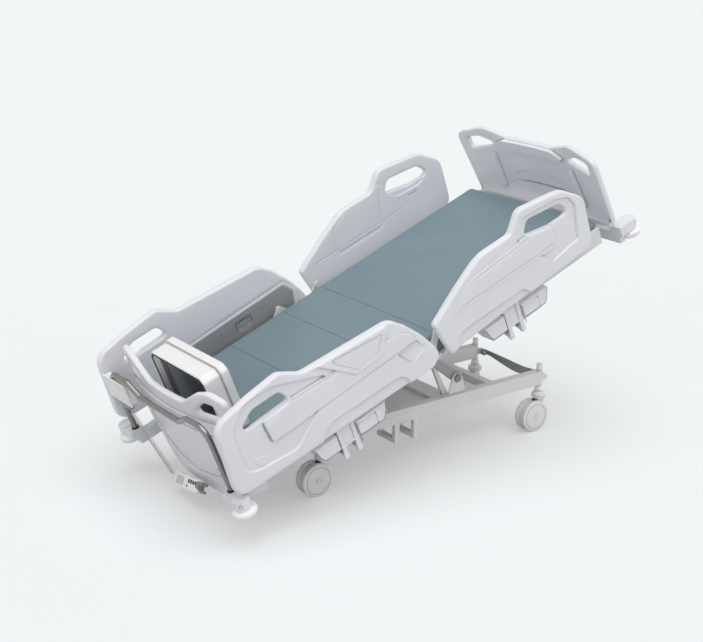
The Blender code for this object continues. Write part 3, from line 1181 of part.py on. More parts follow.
def build_controls(axis, bright, cream, cable):
    """Push bar with its control box, and the handset on its curly cord."""
    corners = ((BAR_LEG_V, CORNER_TOP - CROSS_DROP - BAR_SOCKET_DEPTH + CLEARANCE, 0.0),
               (BAR_LEG_V, BAR_TOP, BAR_BEND),
               (BAR_LEG_V * 0.62, BAR_TOP - 0.006, BAR_BEND / 2), (BAR_LEG_V * 0.40, BAR_DIP, BAR_BEND / 2))
    path = rounded(list(corners) + [(-v, w, r) for v, w, r in reversed(corners)], closed=False)
    hang(tube_curve("push_bar", [(BAR_U, v, w) for v, w in path], BAR_RADIUS, 2, bright), axis)
    front = BAR_U - BAR_RADIUS - BOX_FRONT
    rear = front + BOX_DEPTH
    low = BOX_TOP - BOX_HEIGHT
    profile = rounded(((rear, BOX_TOP, 0.006), (front, BOX_TOP, 0.006), (front, low, 0.006),
                       (rear, low, 0.006)))
    case = prism(profile, "Y", BOX_V - BOX_WIDTH / 2, BOX_V + BOX_WIDTH / 2)
    p2 = POD_WIDTH / 2
    pod = prism(rounded(((BOX_V - p2, low + BOX_FRONT, 0.0), (BOX_V + p2, low + BOX_FRONT, 0.0),
                         (BOX_V + p2, low - POD_HEIGHT, 0.03), (BOX_V - p2, low - POD_HEIGHT, 0.03))), "X",
                front + BOX_FRONT, rear - BOX_FRONT)
    frame = handset_frame()
    exit_point = Vector((front + BOX_DEPTH / 2, BOX_V, low - POD_HEIGHT))
    entry = frame @ Vector((0, HANDSET_LENGTH / 2, 0))
    along = (entry - exit_point).normalized()
    cord_start = exit_point + along * GLAND_LENGTH
    cord_end = entry - along * GLAND_LENGTH
    gland = rod(exit_point - along * GLAND_LENGTH, cord_start - along * CLEARANCE, GLAND_RADIUS)
    grooves = [tube_cut(corners, 1)]
    hang(solid("control_box", case, cream, [pod, gland], grooves), axis)
    body = box((-HANDSET_WIDTH / 2, -HANDSET_LENGTH / 2, -HANDSET_THICKNESS / 2),
               (HANDSET_WIDTH / 2, HANDSET_LENGTH / 2, HANDSET_THICKNESS / 2))
    plug = rod(entry - along * -GLAND_LENGTH, cord_end + along * CLEARANCE, GLAND_RADIUS)
    hook = rounded(((-HANDSET_WIDTH * 0.36, -HANDSET_THICKNESS / 2, 0.003),
                    (HANDSET_WIDTH * 0.36, -HANDSET_THICKNESS / 2, 0.003),
                    (HANDSET_WIDTH * 0.36, HANDSET_THICKNESS * 0.9, 0.003),
                    (-HANDSET_WIDTH * 0.1, HANDSET_THICKNESS * 0.9, 0.003)))
    clip = prism(hook, "Y", -HANDSET_LENGTH / 2 - HOOK_LENGTH, -HANDSET_LENGTH / 2 + 0.004)
    handset = solid("handset", moved(body, frame), cream, [moved(clip, frame), plug])
    hang(handset, axis)
    points = curly_points(cord_start, cord_end)
    gap = least_gap(points)
    print("least gap between curls: %.2f mm" % (gap * 1000))
    assert gap > LEAST_CURL_GAP
    hang(tube_curve("handset_cord", points, CORD_RADIUS, 1, cable), axis)


def tube_cut(corners, side):
    """Groove in the control box for the push bar's corner."""
    path = rounded([(side * v, w, r) for v, w, r in corners], closed=False)
    tube = tube_curve("groove", [(BAR_U, v, w) for v, w in path], BAR_RADIUS + CLEARANCE, 2,
                      bpy.data.materials[0])
    return baked(tube)


# Foot support
def build_support(axis, shell, rubber):
    """Foot support box with a sunk screen face, a step groove round it, and two foot pads on a backing."""
    low = CLEARANCE * 2 + MATTRESS_THICKNESS
    high = low + SUPPORT_HEIGHT
    w2 = SUPPORT_HALF_WIDTH
    face = rounded(((-w2, low, 0.02), (w2, low, 0.02), (w2, high - SUPPORT_CHAMFER, 0.012),
                    (w2 - SUPPORT_CHAMFER, high, 0.012),
                    (-w2 + SUPPORT_CHAMFER, high, 0.012), (-w2, high - SUPPORT_CHAMFER, 0.012)))
    front = SUPPORT_BACK_U + SUPPORT_DEPTH
    body = prism(face, "X", SUPPORT_BACK_U, front)
    middle = Vector((0, (low + high) / 2))

    def inset(amount):
        """Outline drawn in evenly by about the given amount."""
        return [tuple(middle + Vector(((v - middle.x) * (1 - amount / w2),
                                       (w - middle.y) * (1 - 2 * amount / SUPPORT_HEIGHT))))
                for v, w in face]

    groove = SUPPORT_BACK_U + SUPPORT_DEPTH * 0.62
    made = put("foot_support", body, shell)
    band = put("band", prism(inset(-0.02), "X", groove, groove + 0.008))
    shaped(band, "DIFFERENCE", [prism(inset(SUPPORT_GROOVE), "X", groove - 0.01, groove + 0.02)])
    shaped(made, "DIFFERENCE", [baked(band), prism(inset(0.012), "X", SUPPORT_BACK_U - 0.01,
                                                   SUPPORT_BACK_U + SUPPORT_SCREEN_INSET)])
    hang(made, axis)
    pads = [rounded([(v + s * PAD_OFFSET, w, r) for v, w, r in
                     ((-PAD_HALF_WIDTH, low + 0.02, 0.06), (PAD_HALF_WIDTH, low + 0.02, 0.06),
                      (PAD_HALF_WIDTH, low + 0.02 + PAD_HEIGHT, 0.07), (-PAD_HALF_WIDTH,
                                                                        low + 0.02 + PAD_HEIGHT, 0.07))])
            for s in SIDES.values()]
    seat = front + CLEARANCE
    link = box((seat, -PAD_OFFSET, low + PAD_HEIGHT * 0.3),
               (seat + PAD_THICKNESS / 3, PAD_OFFSET, low + PAD_HEIGHT * 0.8))
    shapes = [prism(pad, "X", seat, seat + PAD_THICKNESS) for pad in pads]
    hang(solid("foot_pads", shapes[0], rubber, [shapes[1], link]), axis)


def main():
    """Build every piece of the bed."""
    clear_scene()
    shell = finish("shell_plastic", (0.80, 0.80, 0.84), 0.4)
    steel = finish("painted_steel", (0.62, 0.62, 0.60), 0.45)
    plate = finish("cover_plate", (0.75, 0.75, 0.74), 0.5)
    dark = finish("dark_steel", (0.25, 0.25, 0.25), 0.5)
    tread = finish("wheel_plastic", (0.66, 0.66, 0.65), 0.5)
    bright = finish("stainless_steel", (0.65, 0.64, 0.62), 0.2, 1.0)
    rubber = finish("black_rubber", (0.03, 0.03, 0.03), 0.7)
    cream = finish("warm_plastic", (0.78, 0.77, 0.73), 0.5)
    fabric = finish("mattress_cover", (0.23, 0.34, 0.35), 0.75)
    cable = finish("cord_plastic", (0.82, 0.82, 0.80), 0.5)
    roller = finish("bumper_plastic", (0.84, 0.84, 0.83), 0.4)
    build_base(steel, plate, dark)
    build_castors(steel, tread)
    tilt = build_lift(steel, bright)
    build_frame(tilt, steel, roller)
    calf = build_deck(tilt, plate, fabric)
    build_side_rails(tilt, shell, steel)
    lift_off = build_boards(tilt, shell)
    build_controls(lift_off, bright, cream, cable)
    build_support(calf, cream, rubber)
    bpy.context.view_layer.update()


main()
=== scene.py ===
"""Looks of the hospital bed: moulded rails and boards, painted base, castors, mattress and controls."""
from __future__ import annotations

import json
import logging
import math
from collections.abc import Callable, Sequence
from dataclasses import dataclass, field
from enum import Enum, IntEnum
from typing import Any

import bpy
import numpy as np
from mathutils import Matrix, Vector
from mathutils.geometry import delaunay_2d_cdt

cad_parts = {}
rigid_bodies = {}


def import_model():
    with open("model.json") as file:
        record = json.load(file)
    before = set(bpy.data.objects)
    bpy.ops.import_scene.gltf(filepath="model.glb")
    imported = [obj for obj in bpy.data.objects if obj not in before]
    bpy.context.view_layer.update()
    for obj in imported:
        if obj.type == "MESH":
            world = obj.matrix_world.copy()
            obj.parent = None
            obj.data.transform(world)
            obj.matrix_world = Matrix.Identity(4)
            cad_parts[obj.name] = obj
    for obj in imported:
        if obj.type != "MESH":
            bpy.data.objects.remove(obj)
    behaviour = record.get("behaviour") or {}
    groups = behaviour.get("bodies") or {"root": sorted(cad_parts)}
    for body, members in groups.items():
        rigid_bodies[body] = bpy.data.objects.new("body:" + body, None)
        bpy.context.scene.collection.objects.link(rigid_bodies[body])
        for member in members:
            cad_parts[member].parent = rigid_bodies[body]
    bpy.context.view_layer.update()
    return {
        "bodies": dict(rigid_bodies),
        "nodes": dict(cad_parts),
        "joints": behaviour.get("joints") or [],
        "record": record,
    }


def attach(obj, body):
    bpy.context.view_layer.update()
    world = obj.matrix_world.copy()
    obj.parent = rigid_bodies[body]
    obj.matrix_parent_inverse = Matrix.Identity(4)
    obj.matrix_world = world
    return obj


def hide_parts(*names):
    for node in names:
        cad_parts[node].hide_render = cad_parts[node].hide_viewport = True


LOG = logging.getLogger("hospital_bed")
Array = np.ndarray
Corners = Sequence[tuple[float, float, float]]
Profile = tuple[tuple[float, float], ...]
Place = Callable[[Array, Array, Any], Array]

TILT = math.radians(21.0)
DECK_ORIGIN = (-0.0085, 0.0, 0.589)
NEARLY_STRAIGHT = 1.55
ARC_SHARE = 0.48
LEAST_POINTS = 12
SAME_POINT = 1e-9
DISTANCES_AT_ONCE = 1500000
TINY_LENGTH = 1e-12
TINY_RISE = 1e-15
TINY_SQUARE = 1e-18
WELD_STEPS = 1e7
THIN_RADIUS = 1e-4


class Side(Enum):
    """The patient's left and right, as the sign of the across direction."""

    LEFT = -1
    RIGHT = 1

    @property
    def word(self) -> str:
        """Word for the side in node names."""
        return self.name.lower()


class End(Enum):
    """Foot end or head end of the bed."""

    FOOT = "foot"
    HEAD = "head"


class Ring(IntEnum):
    """Points round a tube or a turned piece, by its size."""

    LINE = 8
    CABLE = 10
    BOLT = 24
    PIPE = 28
    COLLAR = 40
    CAP = 56
    ROLLER = 64
    WHEEL = 72


class Ground(Enum):
    """Colours of the pale studio floor and of what lies behind it."""

    FLOOR = "#F1F9FA"
    VEIL = "#F7F0F1"
    BEHIND = "#F4F8F9"
    BOUNCE = "#B0B4B6"


def deck(u: Any, v: Any, w: Any) -> Array:
    """World points of deck coordinates: u to the head, v across, w up, turned by the tilt about v.

    Args:
        u: Lengths along the deck, one number or an array.
        v: Lengths across it.
        w: Heights over its top.

    Returns:
        Points in the last index of the array.
    """
    u, v, w = np.broadcast_arrays(np.asarray(u, float), np.asarray(v, float), np.asarray(w, float))
    c, s = math.cos(TILT), math.sin(TILT)
    x, y, z = DECK_ORIGIN
    return np.stack([x + u * c - w * s, v + y, z + u * s + w * c], -1)


def way(u: Any, v: Any, w: Any) -> Array:
    """World direction of a deck direction."""
    return deck(u, v, w) - np.array(DECK_ORIGIN)


def endwise(a: Array, b: Array, along: Any) -> Array:
    """World points of an outline across the bed and upright, carried along the deck."""
    return deck(along, a, b)


def deck_box(node: str) -> tuple[Array, Array]:
    """Lowest and highest deck coordinates of a node, from its points turned back by the tilt.

    Args:
        node: Name of a node of the frame.

    Returns:
        Two points (u, v, w).
    """
    mesh = bpy.data.objects[node].data
    flat = np.zeros(len(mesh.vertices) * 3)
    mesh.vertices.foreach_get("co", flat)
    p = flat.reshape(-1, 3) - np.array(DECK_ORIGIN)
    c, s = math.cos(TILT), math.sin(TILT)
    q = np.stack([p[:, 0] * c + p[:, 2] * s, p[:, 1], p[:, 2] * c - p[:, 0] * s], -1)
    return q.min(0), q.max(0)


def rounded(corners: Corners, step: float = 0.12) -> Array:
    """Outline whose corners are arcs tangent to both sides: a circle of a radius, pushed into each corner.

    Args:
        corners: (a, b, radius) of each corner.
        step: Angle between two points of an arc, in radians.

    Returns:
        Points (a, b) of the closed outline.
    """
    flat = np.array([c[:2] for c in corners], float)
    parts = []
    for k, (a, b, radius) in enumerate(corners):
        here = np.array([a, b])
        back, ahead = flat[k - 1] - here, flat[(k + 1) % len(flat)] - here
        lengths = np.linalg.norm(back), np.linalg.norm(ahead)
        back, ahead = back / lengths[0], ahead / lengths[1]
        half = math.acos(float(np.clip(back @ ahead, -1, 1))) / 2
        if radius == 0 or half > NEARLY_STRAIGHT:
            parts.append(here[None])
            continue
        reach = min(radius / math.tan(half), ARC_SHARE * lengths[0], ARC_SHARE * lengths[1])
        bend = reach * math.tan(half)
        middle = here + (back + ahead) / np.linalg.norm(back + ahead) * bend / math.sin(half)
        first, last = here + back * reach - middle, here + ahead * reach - middle
        start = math.atan2(first[1], first[0])
        sweep = (math.atan2(last[1], last[0]) - start + math.pi) % (2 * math.pi) - math.pi
        angles = start + sweep * np.linspace(0, 1, max(2, math.ceil(abs(sweep) / step) + 1))
        parts.append(middle + bend * np.stack([np.cos(angles), np.sin(angles)], -1))
    return np.concatenate(parts)


def evened(loop: Array, spacing: float) -> Array:
    """Closed outline with points at even steps of its own length, turning left.

    Args:
        loop: Points of the outline.
        spacing: Step in metres.

    Returns:
        The evened points.
    """
    closed = np.concatenate([loop, loop[:1]])
    steps = np.linalg.norm(np.diff(closed, axis=0), axis=1)
    keep = np.concatenate([[True], steps > SAME_POINT])
    closed, run = closed[keep], np.concatenate([[0.0], np.cumsum(steps[steps > SAME_POINT])])
    at = np.linspace(0, run[-1], max(LEAST_POINTS, int(run[-1] / spacing)), endpoint=False)
    made = np.stack([np.interp(at, run, closed[:, k]) for k in (0, 1)], -1)
    x, y = made[:, 0], made[:, 1]
    turn = np.sum(x * np.roll(y, -1) - np.roll(x, -1) * y)
    return made if turn > 0 else made[::-1].copy()


def shifted(loop: Array, distance: float) -> Array:
    """Closed left-turning outline moved outwards along normals that its next and last points give.

    Args:
        loop: Points of the outline.
        distance: Way outwards.

    Returns:
        The moved points.
    """
    run = np.roll(loop, -1, 0) - np.roll(loop, 1, 0)
    normal = np.stack([run[:, 1], -run[:, 0]], -1)
    return loop + distance * normal / np.maximum(np.linalg.norm(normal, axis=1, keepdims=True), TINY_LENGTH)


def inside_depth(points: Array, loop: Array) -> Array:
    """Distance from each point to an outline, positive inside: nearest of its sides, with a crossing count.

    Args:
        points: Points (a, b).
        loop: Closed outline.

    Returns:
        One distance for each point.
    """
    start, end = loop, np.roll(loop, -1, 0)
    side = end - start
    found = []
    for chunk in np.array_split(points, len(points) * len(loop) // DISTANCES_AT_ONCE + 1):
        gap = chunk[:, None, :] - start[None]
        along = np.clip((gap * side).sum(-1) / np.maximum((side * side).sum(-1), TINY_SQUARE), 0, 1)
        near = np.sqrt(((gap - along[..., None] * side) ** 2).sum(-1).min(1))
        over = (start[:, 1] > chunk[:, 1:2]) != (end[:, 1] > chunk[:, 1:2])
        rise = np.where(np.abs(side[:, 1]) < TINY_RISE, TINY_RISE, side[:, 1])
        cross = chunk[:, 0:1] < start[:, 0] + (chunk[:, 1:2] - start[:, 1]) / rise * side[:, 0]
        found.append(np.where((over & cross).sum(1) % 2 == 1, near, -near))
    return np.concatenate(found)


def eased(values: Array) -> Array:
    """Smooth step from 0 to 1: 3t squared less 2t cubed, on values held between 0 and 1."""
    t = np.clip(values, 0, 1)
    return t * t * (3 - 2 * t)


def linked(name: str, data: Any) -> bpy.types.Object:
    """New object with its data, linked to the scene.

    Args:
        name: Name of the object.
        data: Its mesh or light.

    Returns:
        The object.
    """
    made = bpy.data.objects.new(name, data)
    bpy.context.scene.collection.objects.link(made)
    return made


def aimed(ahead: Sequence[float]) -> Any:
    """Turn of a camera or lamp that looks in a direction."""
    return Vector(ahead).to_track_quat("-Z", "Y").to_euler()


@dataclass
class Shape:
    """Points with quads and triangles over them."""

    points: Array
    quads: Array = field(default_factory=lambda: np.zeros((0, 4), int))
    tris: Array = field(default_factory=lambda: np.zeros((0, 3), int))

    def outward(self) -> Shape:
        """Faces turned outwards, from the sign of the volume that they enclose.

        Returns:
            The turned shape.
        """
        tris = np.concatenate([self.tris, self.quads[:, [0, 1, 2]], self.quads[:, [0, 2, 3]]])
        a, b, c = (self.points[tris[:, k]] - self.points.mean(0) for k in range(3))
        if np.einsum("ij,ij->i", a, np.cross(b, c)).sum() < 0:
            return Shape(self.points, self.quads[:, ::-1].copy(), self.tris[:, ::-1].copy())
        return self

    def welded(self) -> Shape:
        """Points at the same place made one, and faces without area left out.

        Returns:
            The welded shape.
        """
        key = np.round(self.points * WELD_STEPS).astype(np.int64)
        _, first, back = np.unique(key, axis=0, return_index=True, return_inverse=True)
        back = back.reshape(-1)
        quads, tris = back[self.quads], back[self.tris]
        quads, tris = (faces[(faces != np.roll(faces, 1, 1)).all(1)] for faces in (quads, tris))
        return Shape(self.points[first], quads, tris)

    @staticmethod
    def joined(*shapes: Shape) -> Shape:
        """Several shapes as one, with the indices of each moved on.

        Args:
            *shapes: Shapes to join.

        Returns:
            The joined shape.
        """
        starts = np.cumsum([0] + [len(s.points) for s in shapes])
        return Shape(np.concatenate([s.points for s in shapes]),
                     np.concatenate([s.quads + n for s, n in zip(shapes, starts)]),
                     np.concatenate([s.tris + n for s, n in zip(shapes, starts)]))

    def make(self, name: str, finish: Finish, body: str, stands_for: Sequence[str] = (),
             sharp: float = 35.0) -> bpy.types.Object:
        """Object with this shape that rides on a body.

        Args:
            name: Name of the piece.
            finish: Finish of the piece.
            body: Body that it rides on.
            stands_for: Nodes that it is shown instead of.
            sharp: Angle in degrees over which an edge is shaded sharp.

        Returns:
            The finished object.
        """
        mesh = bpy.data.meshes.new(name)
        mesh.from_pydata(self.points.tolist(), [], self.quads.tolist() + self.tris.tolist())
        mesh.validate()
        mesh.shade_smooth()
        mesh.set_sharp_from_angle(angle=math.radians(sharp))
        mesh.materials.append(finish.material())
        made = linked(name, mesh)
        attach(made, body)
        if stands_for:
            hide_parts(*stands_for)
        LOG.info("%s: %d faces on %s", name, len(mesh.polygons), body)
        return made


def skin(rows: Array, capped: bool = True) -> Shape:
    """Quads over rows of points, joined round each row, with a fan to the middle of the end rows.

    Args:
        rows: Points in an array of (row, point, 3).
        capped: True where the two end rows are closed.

    Returns:
        The shape, with its faces outwards where it is closed.
    """
    n, m = rows.shape[:2]
    index = np.arange(n * m).reshape(n, m)
    index = np.concatenate([index, index[:, :1]], 1)
    quads = np.stack([index[:-1, :-1], index[:-1, 1:], index[1:, 1:], index[1:, :-1]], -1).reshape(-1, 4)
    made = Shape(rows.reshape(-1, 3), quads)
    if not capped:
        return made
    points = np.concatenate([made.points, rows[[0, -1]].mean(1)])
    low, high = index[0], index[-1]
    fans = [np.stack([np.full(len(low) - 1, n * m), low[1:], low[:-1]], -1),
            np.stack([np.full(len(high) - 1, n * m + 1), high[:-1], high[1:]], -1)]
    return Shape(points, quads, np.concatenate(fans)).outward()


def lathe(profile: Sequence[tuple[float, float]], origin: Sequence[float], axis: Sequence[float],
          turns: int) -> Shape:
    """Profile of (radius, height) turned: origin + radius (first cos + second sin) + height axis.

    Args:
        profile: Radii and heights from one end to the other.
        origin: Point on the axis at height 0.
        axis: Direction of the axis.
        turns: Points round each ring.

    Returns:
        The closed shape.
    """
    up = Vector(axis).normalized()
    first = np.array(up.orthogonal().normalized())
    second = np.cross(np.array(up), first)
    angle = np.linspace(0, 2 * math.pi, turns, endpoint=False)
    ring = np.cos(angle)[:, None] * first + np.sin(angle)[:, None] * second
    flat = np.array(profile, float)
    flat[:, 0] = np.maximum(flat[:, 0], THIN_RADIUS)
    rows = np.array(origin) + flat[:, 0, None, None] * ring + flat[:, 1, None, None] * np.array(up)
    return skin(rows)


def loft(loop: Array, rings: Sequence[tuple[float, float]], place: Place) -> Shape:
    """Outline carried along a direction, drawn in by an inset at each ring.

    Args:
        loop: Left-turning outline (a, b).
        rings: (place along the direction, inset) from end to end.
        place: World points of a, b and the place along the direction.

    Returns:
        The closed shape.
    """
    rows = []
    for along, inset in rings:
        drawn = shifted(loop, -inset)
        rows.append(place(drawn[:, 0], drawn[:, 1], along))
    return skin(np.stack(rows))


def tube(path: Array, normal: Array, radius: float, sides: int) -> Shape:
    """Round tube on a path: each ring is path + radius (normal cos + side sin), square to the path.

    Args:
        path: Points along the middle.
        normal: A direction across the path, one for all points or one for each.
        radius: Radius of the tube.
        sides: Points round each ring.

    Returns:
        The closed shape.
    """
    run = np.gradient(path, axis=0)
    run /= np.linalg.norm(run, axis=1, keepdims=True)
    first = np.broadcast_to(normal, path.shape)
    first = first - (first * run).sum(1, keepdims=True) * run
    first = first / np.linalg.norm(first, axis=1, keepdims=True)
    second = np.cross(run, first)
    angle = np.linspace(0, 2 * math.pi, sides, endpoint=False)[:, None]
    return skin(path[:, None] + radius * (np.cos(angle) * first[:, None] + np.sin(angle) * second[:, None]))


def paced(path: Array, step: float) -> Array:
    """Open path with points at even steps of its own length.

    Args:
        path: Points of the path.
        step: Step in metres.

    Returns:
        The even points, with both ends kept.
    """
    run = np.concatenate([[0.0], np.cumsum(np.linalg.norm(np.diff(path, axis=0), axis=1))])
    at = np.linspace(0, run[-1], max(2, int(run[-1] / step)) + 1)
    return np.stack([np.interp(at, run, path[:, k]) for k in range(path.shape[1])], -1)


def box_corners(low_a: float, low_b: float, high_a: float, high_b: float, radius: float) -> Corners:
    """Corners of a rectangle, each with the same radius."""
    return ((low_a, low_b, radius), (high_a, low_b, radius), (high_a, high_b, radius),
            (low_a, high_b, radius))


def bar(corners: Corners, low: float, high: float, edge: float, place: Place,
        spacing: float = 0.004) -> Shape:
    """Outline carried from low to high, its ends quarter circles: inset edge (1 - cos) at edge (1 - sin).

    Args:
        corners: Corners of the outline.
        low: Start along the direction.
        high: End along the direction.
        edge: Radius of the end edges.
        place: World points of a, b and the place along the direction.
        spacing: Step between points of the outline.

    Returns:
        The closed shape.
    """
    turn = np.linspace(0, math.pi / 2, 5)
    steps = list(zip((edge * (1 - np.sin(turn))).tolist(), (edge * (1 - np.cos(turn))).tolist()))
    rings = [(low + d, inset) for d, inset in reversed(steps)]
    rings += [(high - d, inset) for d, inset in steps]
    return loft(evened(rounded(corners), spacing), rings, place)


@dataclass(frozen=True)
class Relief:
    """A raised or sunk area of a moulded face, with a soft edge, a slope, or only a line round it."""

    corners: Corners
    level: float
    edge: float = 0.006
    slope: tuple[float, float] = (0.0, 0.0)
    line: bool = False
    crisp_under: float = 0.0045
    wide_from: float = 0.01
    spacings: tuple[float, float] = (0.004, 0.007)
    soft_guides: tuple[float, ...] = (-0.5, -0.22, 0.22, 0.5)
    line_share: float = 0.35

    @property
    def crisp(self) -> bool:
        """True for a narrow edge, which is a flat chamfer."""
        return self.edge < self.crisp_under and not self.line

    def loop(self) -> Array:
        """Evened outline of the area."""
        return evened(rounded(self.corners), self.spacings[self.edge >= self.wide_from])

    def guides(self) -> list[Array]:
        """Outlines that the face needs points along: both ends of its slope, two between on a soft one."""
        loop = self.loop()
        ends = self.soft_guides[::3] if self.crisp else self.soft_guides
        return [shifted(loop, self.edge * k) for k in ends]

    def lifted(self, points: Array, height: Array) -> Array:
        """Heights with this area set to its level by a step over the edge, or with a line pressed in.

        Args:
            points: Points (a, b) of the face.
            height: Heights before.

        Returns:
            Heights after.
        """
        loop = self.loop()
        depth = inside_depth(points, loop)
        if self.line:
            return height + self.level * np.exp(-(depth / (self.line_share * self.edge)) ** 2)
        share = depth / self.edge + 0.5
        share = np.clip(share, 0, 1) if self.crisp else eased(share)
        middle = loop.mean(0)
        plane = self.level + (points - middle) @ np.array(self.slope)
        return height * (1 - share) + plane * share


@dataclass
class Plate:
    """Moulded plate: two faces with reliefs, joined by a rim that is half round over the thickness."""

    outline: Corners
    half: float
    rim: float
    holes: Sequence[Corners] = ()
    front: Sequence[Relief] = ()
    back: Sequence[Relief] = ()
    spacing: float = 0.016
    fine: float = 0.007
    rounds: int = 7
    edge_step: float = 0.004
    guide_gap: float = 0.0022
    fill_gap: float = 0.55
    fill_at_once: int = 200
    weld: float = 1e-6

    def face(self, loops: Sequence[Array], reliefs: Sequence[Relief]) -> tuple[Array, Array]:
        """Triangles over the inset outline, with points on an even grid and along every relief's edge.

        Args:
            loops: Outline and holes of the flat face.
            reliefs: Areas of the face.

        Returns:
            Points and triangles.
        """
        low, high = loops[0].min(0), loops[0].max(0)
        a, b = (np.arange(low[k], high[k], self.spacing) for k in (0, 1))
        a, b = np.meshgrid(a, b)
        a = a + (np.arange(a.shape[0]) % 2)[:, None] * self.spacing / 2
        fill = np.stack([a.ravel(), b.ravel()], -1)
        lines = [line for relief in reliefs for line in relief.guides()]
        points, edges, count = [], [], 0
        for loop in loops:
            index = count + np.arange(len(loop))
            points.append(loop)
            edges.append(np.stack([index, np.roll(index, -1)], -1))
            count += len(loop)
        for line in lines:
            clear = np.min([np.abs(inside_depth(line, loop)) for loop in loops], 0) > self.guide_gap
            clear &= self.within(line, loops)
            index = count + np.cumsum(clear) - 1
            both = clear & np.roll(clear, -1)
            edges.append(np.stack([index, np.roll(index, -1)], -1)[both])
            points.append(line[clear])
            count += int(clear.sum())
        near = np.concatenate([evened(loop, self.edge_step) for loop in loops] + lines)
        gap = np.concatenate([np.sqrt(((part[:, None] - near[None]) ** 2).sum(-1).min(1))
                              for part in np.array_split(fill, len(fill) // self.fill_at_once + 1)])
        keep = self.within(fill, loops) & (gap > self.fill_gap * self.spacing)
        points.append(fill[keep])
        flat = np.concatenate(points)
        made = delaunay_2d_cdt(list(map(Vector, flat.tolist())), np.concatenate(edges).tolist(), [], 0,
                               self.weld, False)
        out, tris = np.array([tuple(p) for p in made[0]]), np.array(made[2])
        middle = out[tris].mean(1)
        return out, tris[self.within(middle, loops)]

    @staticmethod
    def within(points: Array, loops: Sequence[Array]) -> Array:
        """True for points inside the first outline and outside the others.

        Args:
            points: Points to test.
            loops: Outer outline, then the holes.

        Returns:
            One truth value a point.
        """
        good = inside_depth(points, loops[0]) > 0
        for hole in loops[1:]:
            good &= inside_depth(points, hole) < 0
        return good

    def height(self, points: Array, reliefs: Sequence[Relief]) -> Array:
        """Heights of a face: half the thickness, and every relief in order.

        Args:
            points: Points of the face.
            reliefs: Reliefs of the face.

        Returns:
            One height a point.
        """
        lift = np.zeros(len(points))
        for relief in reliefs:
            lift = relief.lifted(points, lift)
        return self.half + lift

    def shape(self, place: Place) -> Shape:
        """Both faces, and for each outline rings at inset rim (1 - cos) and height times sin.

        Args:
            place: World points of a, b and the height over the middle of the plate.

        Returns:
            The closed shape.
        """
        outer = [evened(rounded(self.outline), self.fine)]
        outer += [evened(rounded(hole), self.fine) for hole in self.holes]
        inset = [shifted(loop, -self.rim if k == 0 else self.rim) for k, loop in enumerate(outer)]
        inset = [loop.astype(np.float32).astype(float) for loop in inset]
        parts = []
        for sign, reliefs in ((1, self.front), (-1, self.back)):
            flat, tris = self.face(inset, reliefs)
            parts.append(Shape(place(flat[:, 0], flat[:, 1], sign * self.height(flat, reliefs)),
                               tris=tris if sign > 0 else tris[:, ::-1]))
        angles = np.linspace(0, math.pi / 2, self.rounds)[1:-1].tolist()
        for k, (loop, drawn) in enumerate(zip(outer, inset)):
            up, down = self.height(drawn, self.front), -self.height(drawn, self.back)
            rows = [place(drawn[:, 0], drawn[:, 1], up)]
            for angle, level in [(a, up) for a in angles[::-1]] + [(0.0, up)] + [(a, down) for a in angles]:
                at = loop + (drawn - loop) * (1 - math.cos(angle))
                rows.append(place(at[:, 0], at[:, 1], level * math.sin(angle)))
            rows.append(place(drawn[:, 0], drawn[:, 1], down))
            side = skin(np.stack(rows), capped=False)
            parts.append(Shape(side.points, side.quads[:, ::-1] if k == 0 else side.quads))
        return Shape.joined(*parts).welded().outward()


class Value:
    """A shader socket that takes part in Python expressions, each of which adds a Math node."""

    def __init__(self, graph: Graph, socket: Any) -> None:
        """Keeps the graph and the socket."""
        self.graph = graph
        self.socket = socket

    def maths(self, operation: str, first: Any, second: Any) -> Value:
        """Math node with two inputs, each a socket or a number."""
        node = self.graph.node("ShaderNodeMath", {"operation": operation}, {0: first, 1: second})
        return Value(self.graph, node.outputs[0])

    def __add__(self, other: Any) -> Value:
        """Sum."""
        return self.maths("ADD", self, other)

    def __sub__(self, other: Any) -> Value:
        """Difference."""
        return self.maths("SUBTRACT", self, other)

    def __rsub__(self, other: Any) -> Value:
        """Difference with this value taken away."""
        return self.maths("SUBTRACT", other, self)

    def __mul__(self, other: Any) -> Value:
        """Product."""
        return self.maths("MULTIPLY", self, other)

    def most(self, other: Any) -> Value:
        """Larger of two."""
        return self.maths("MAXIMUM", self, other)

    def ramp(self, low: float, high: float) -> Value:
        """Smooth step from 0 at low to 1 at high."""
        node = self.graph.node("ShaderNodeMapRange", {"interpolation_type": "SMOOTHSTEP"},
                               {"Value": self, "From Min": low, "From Max": high})
        return Value(self.graph, node.outputs[0])

    __radd__ = __add__
    __rmul__ = __mul__


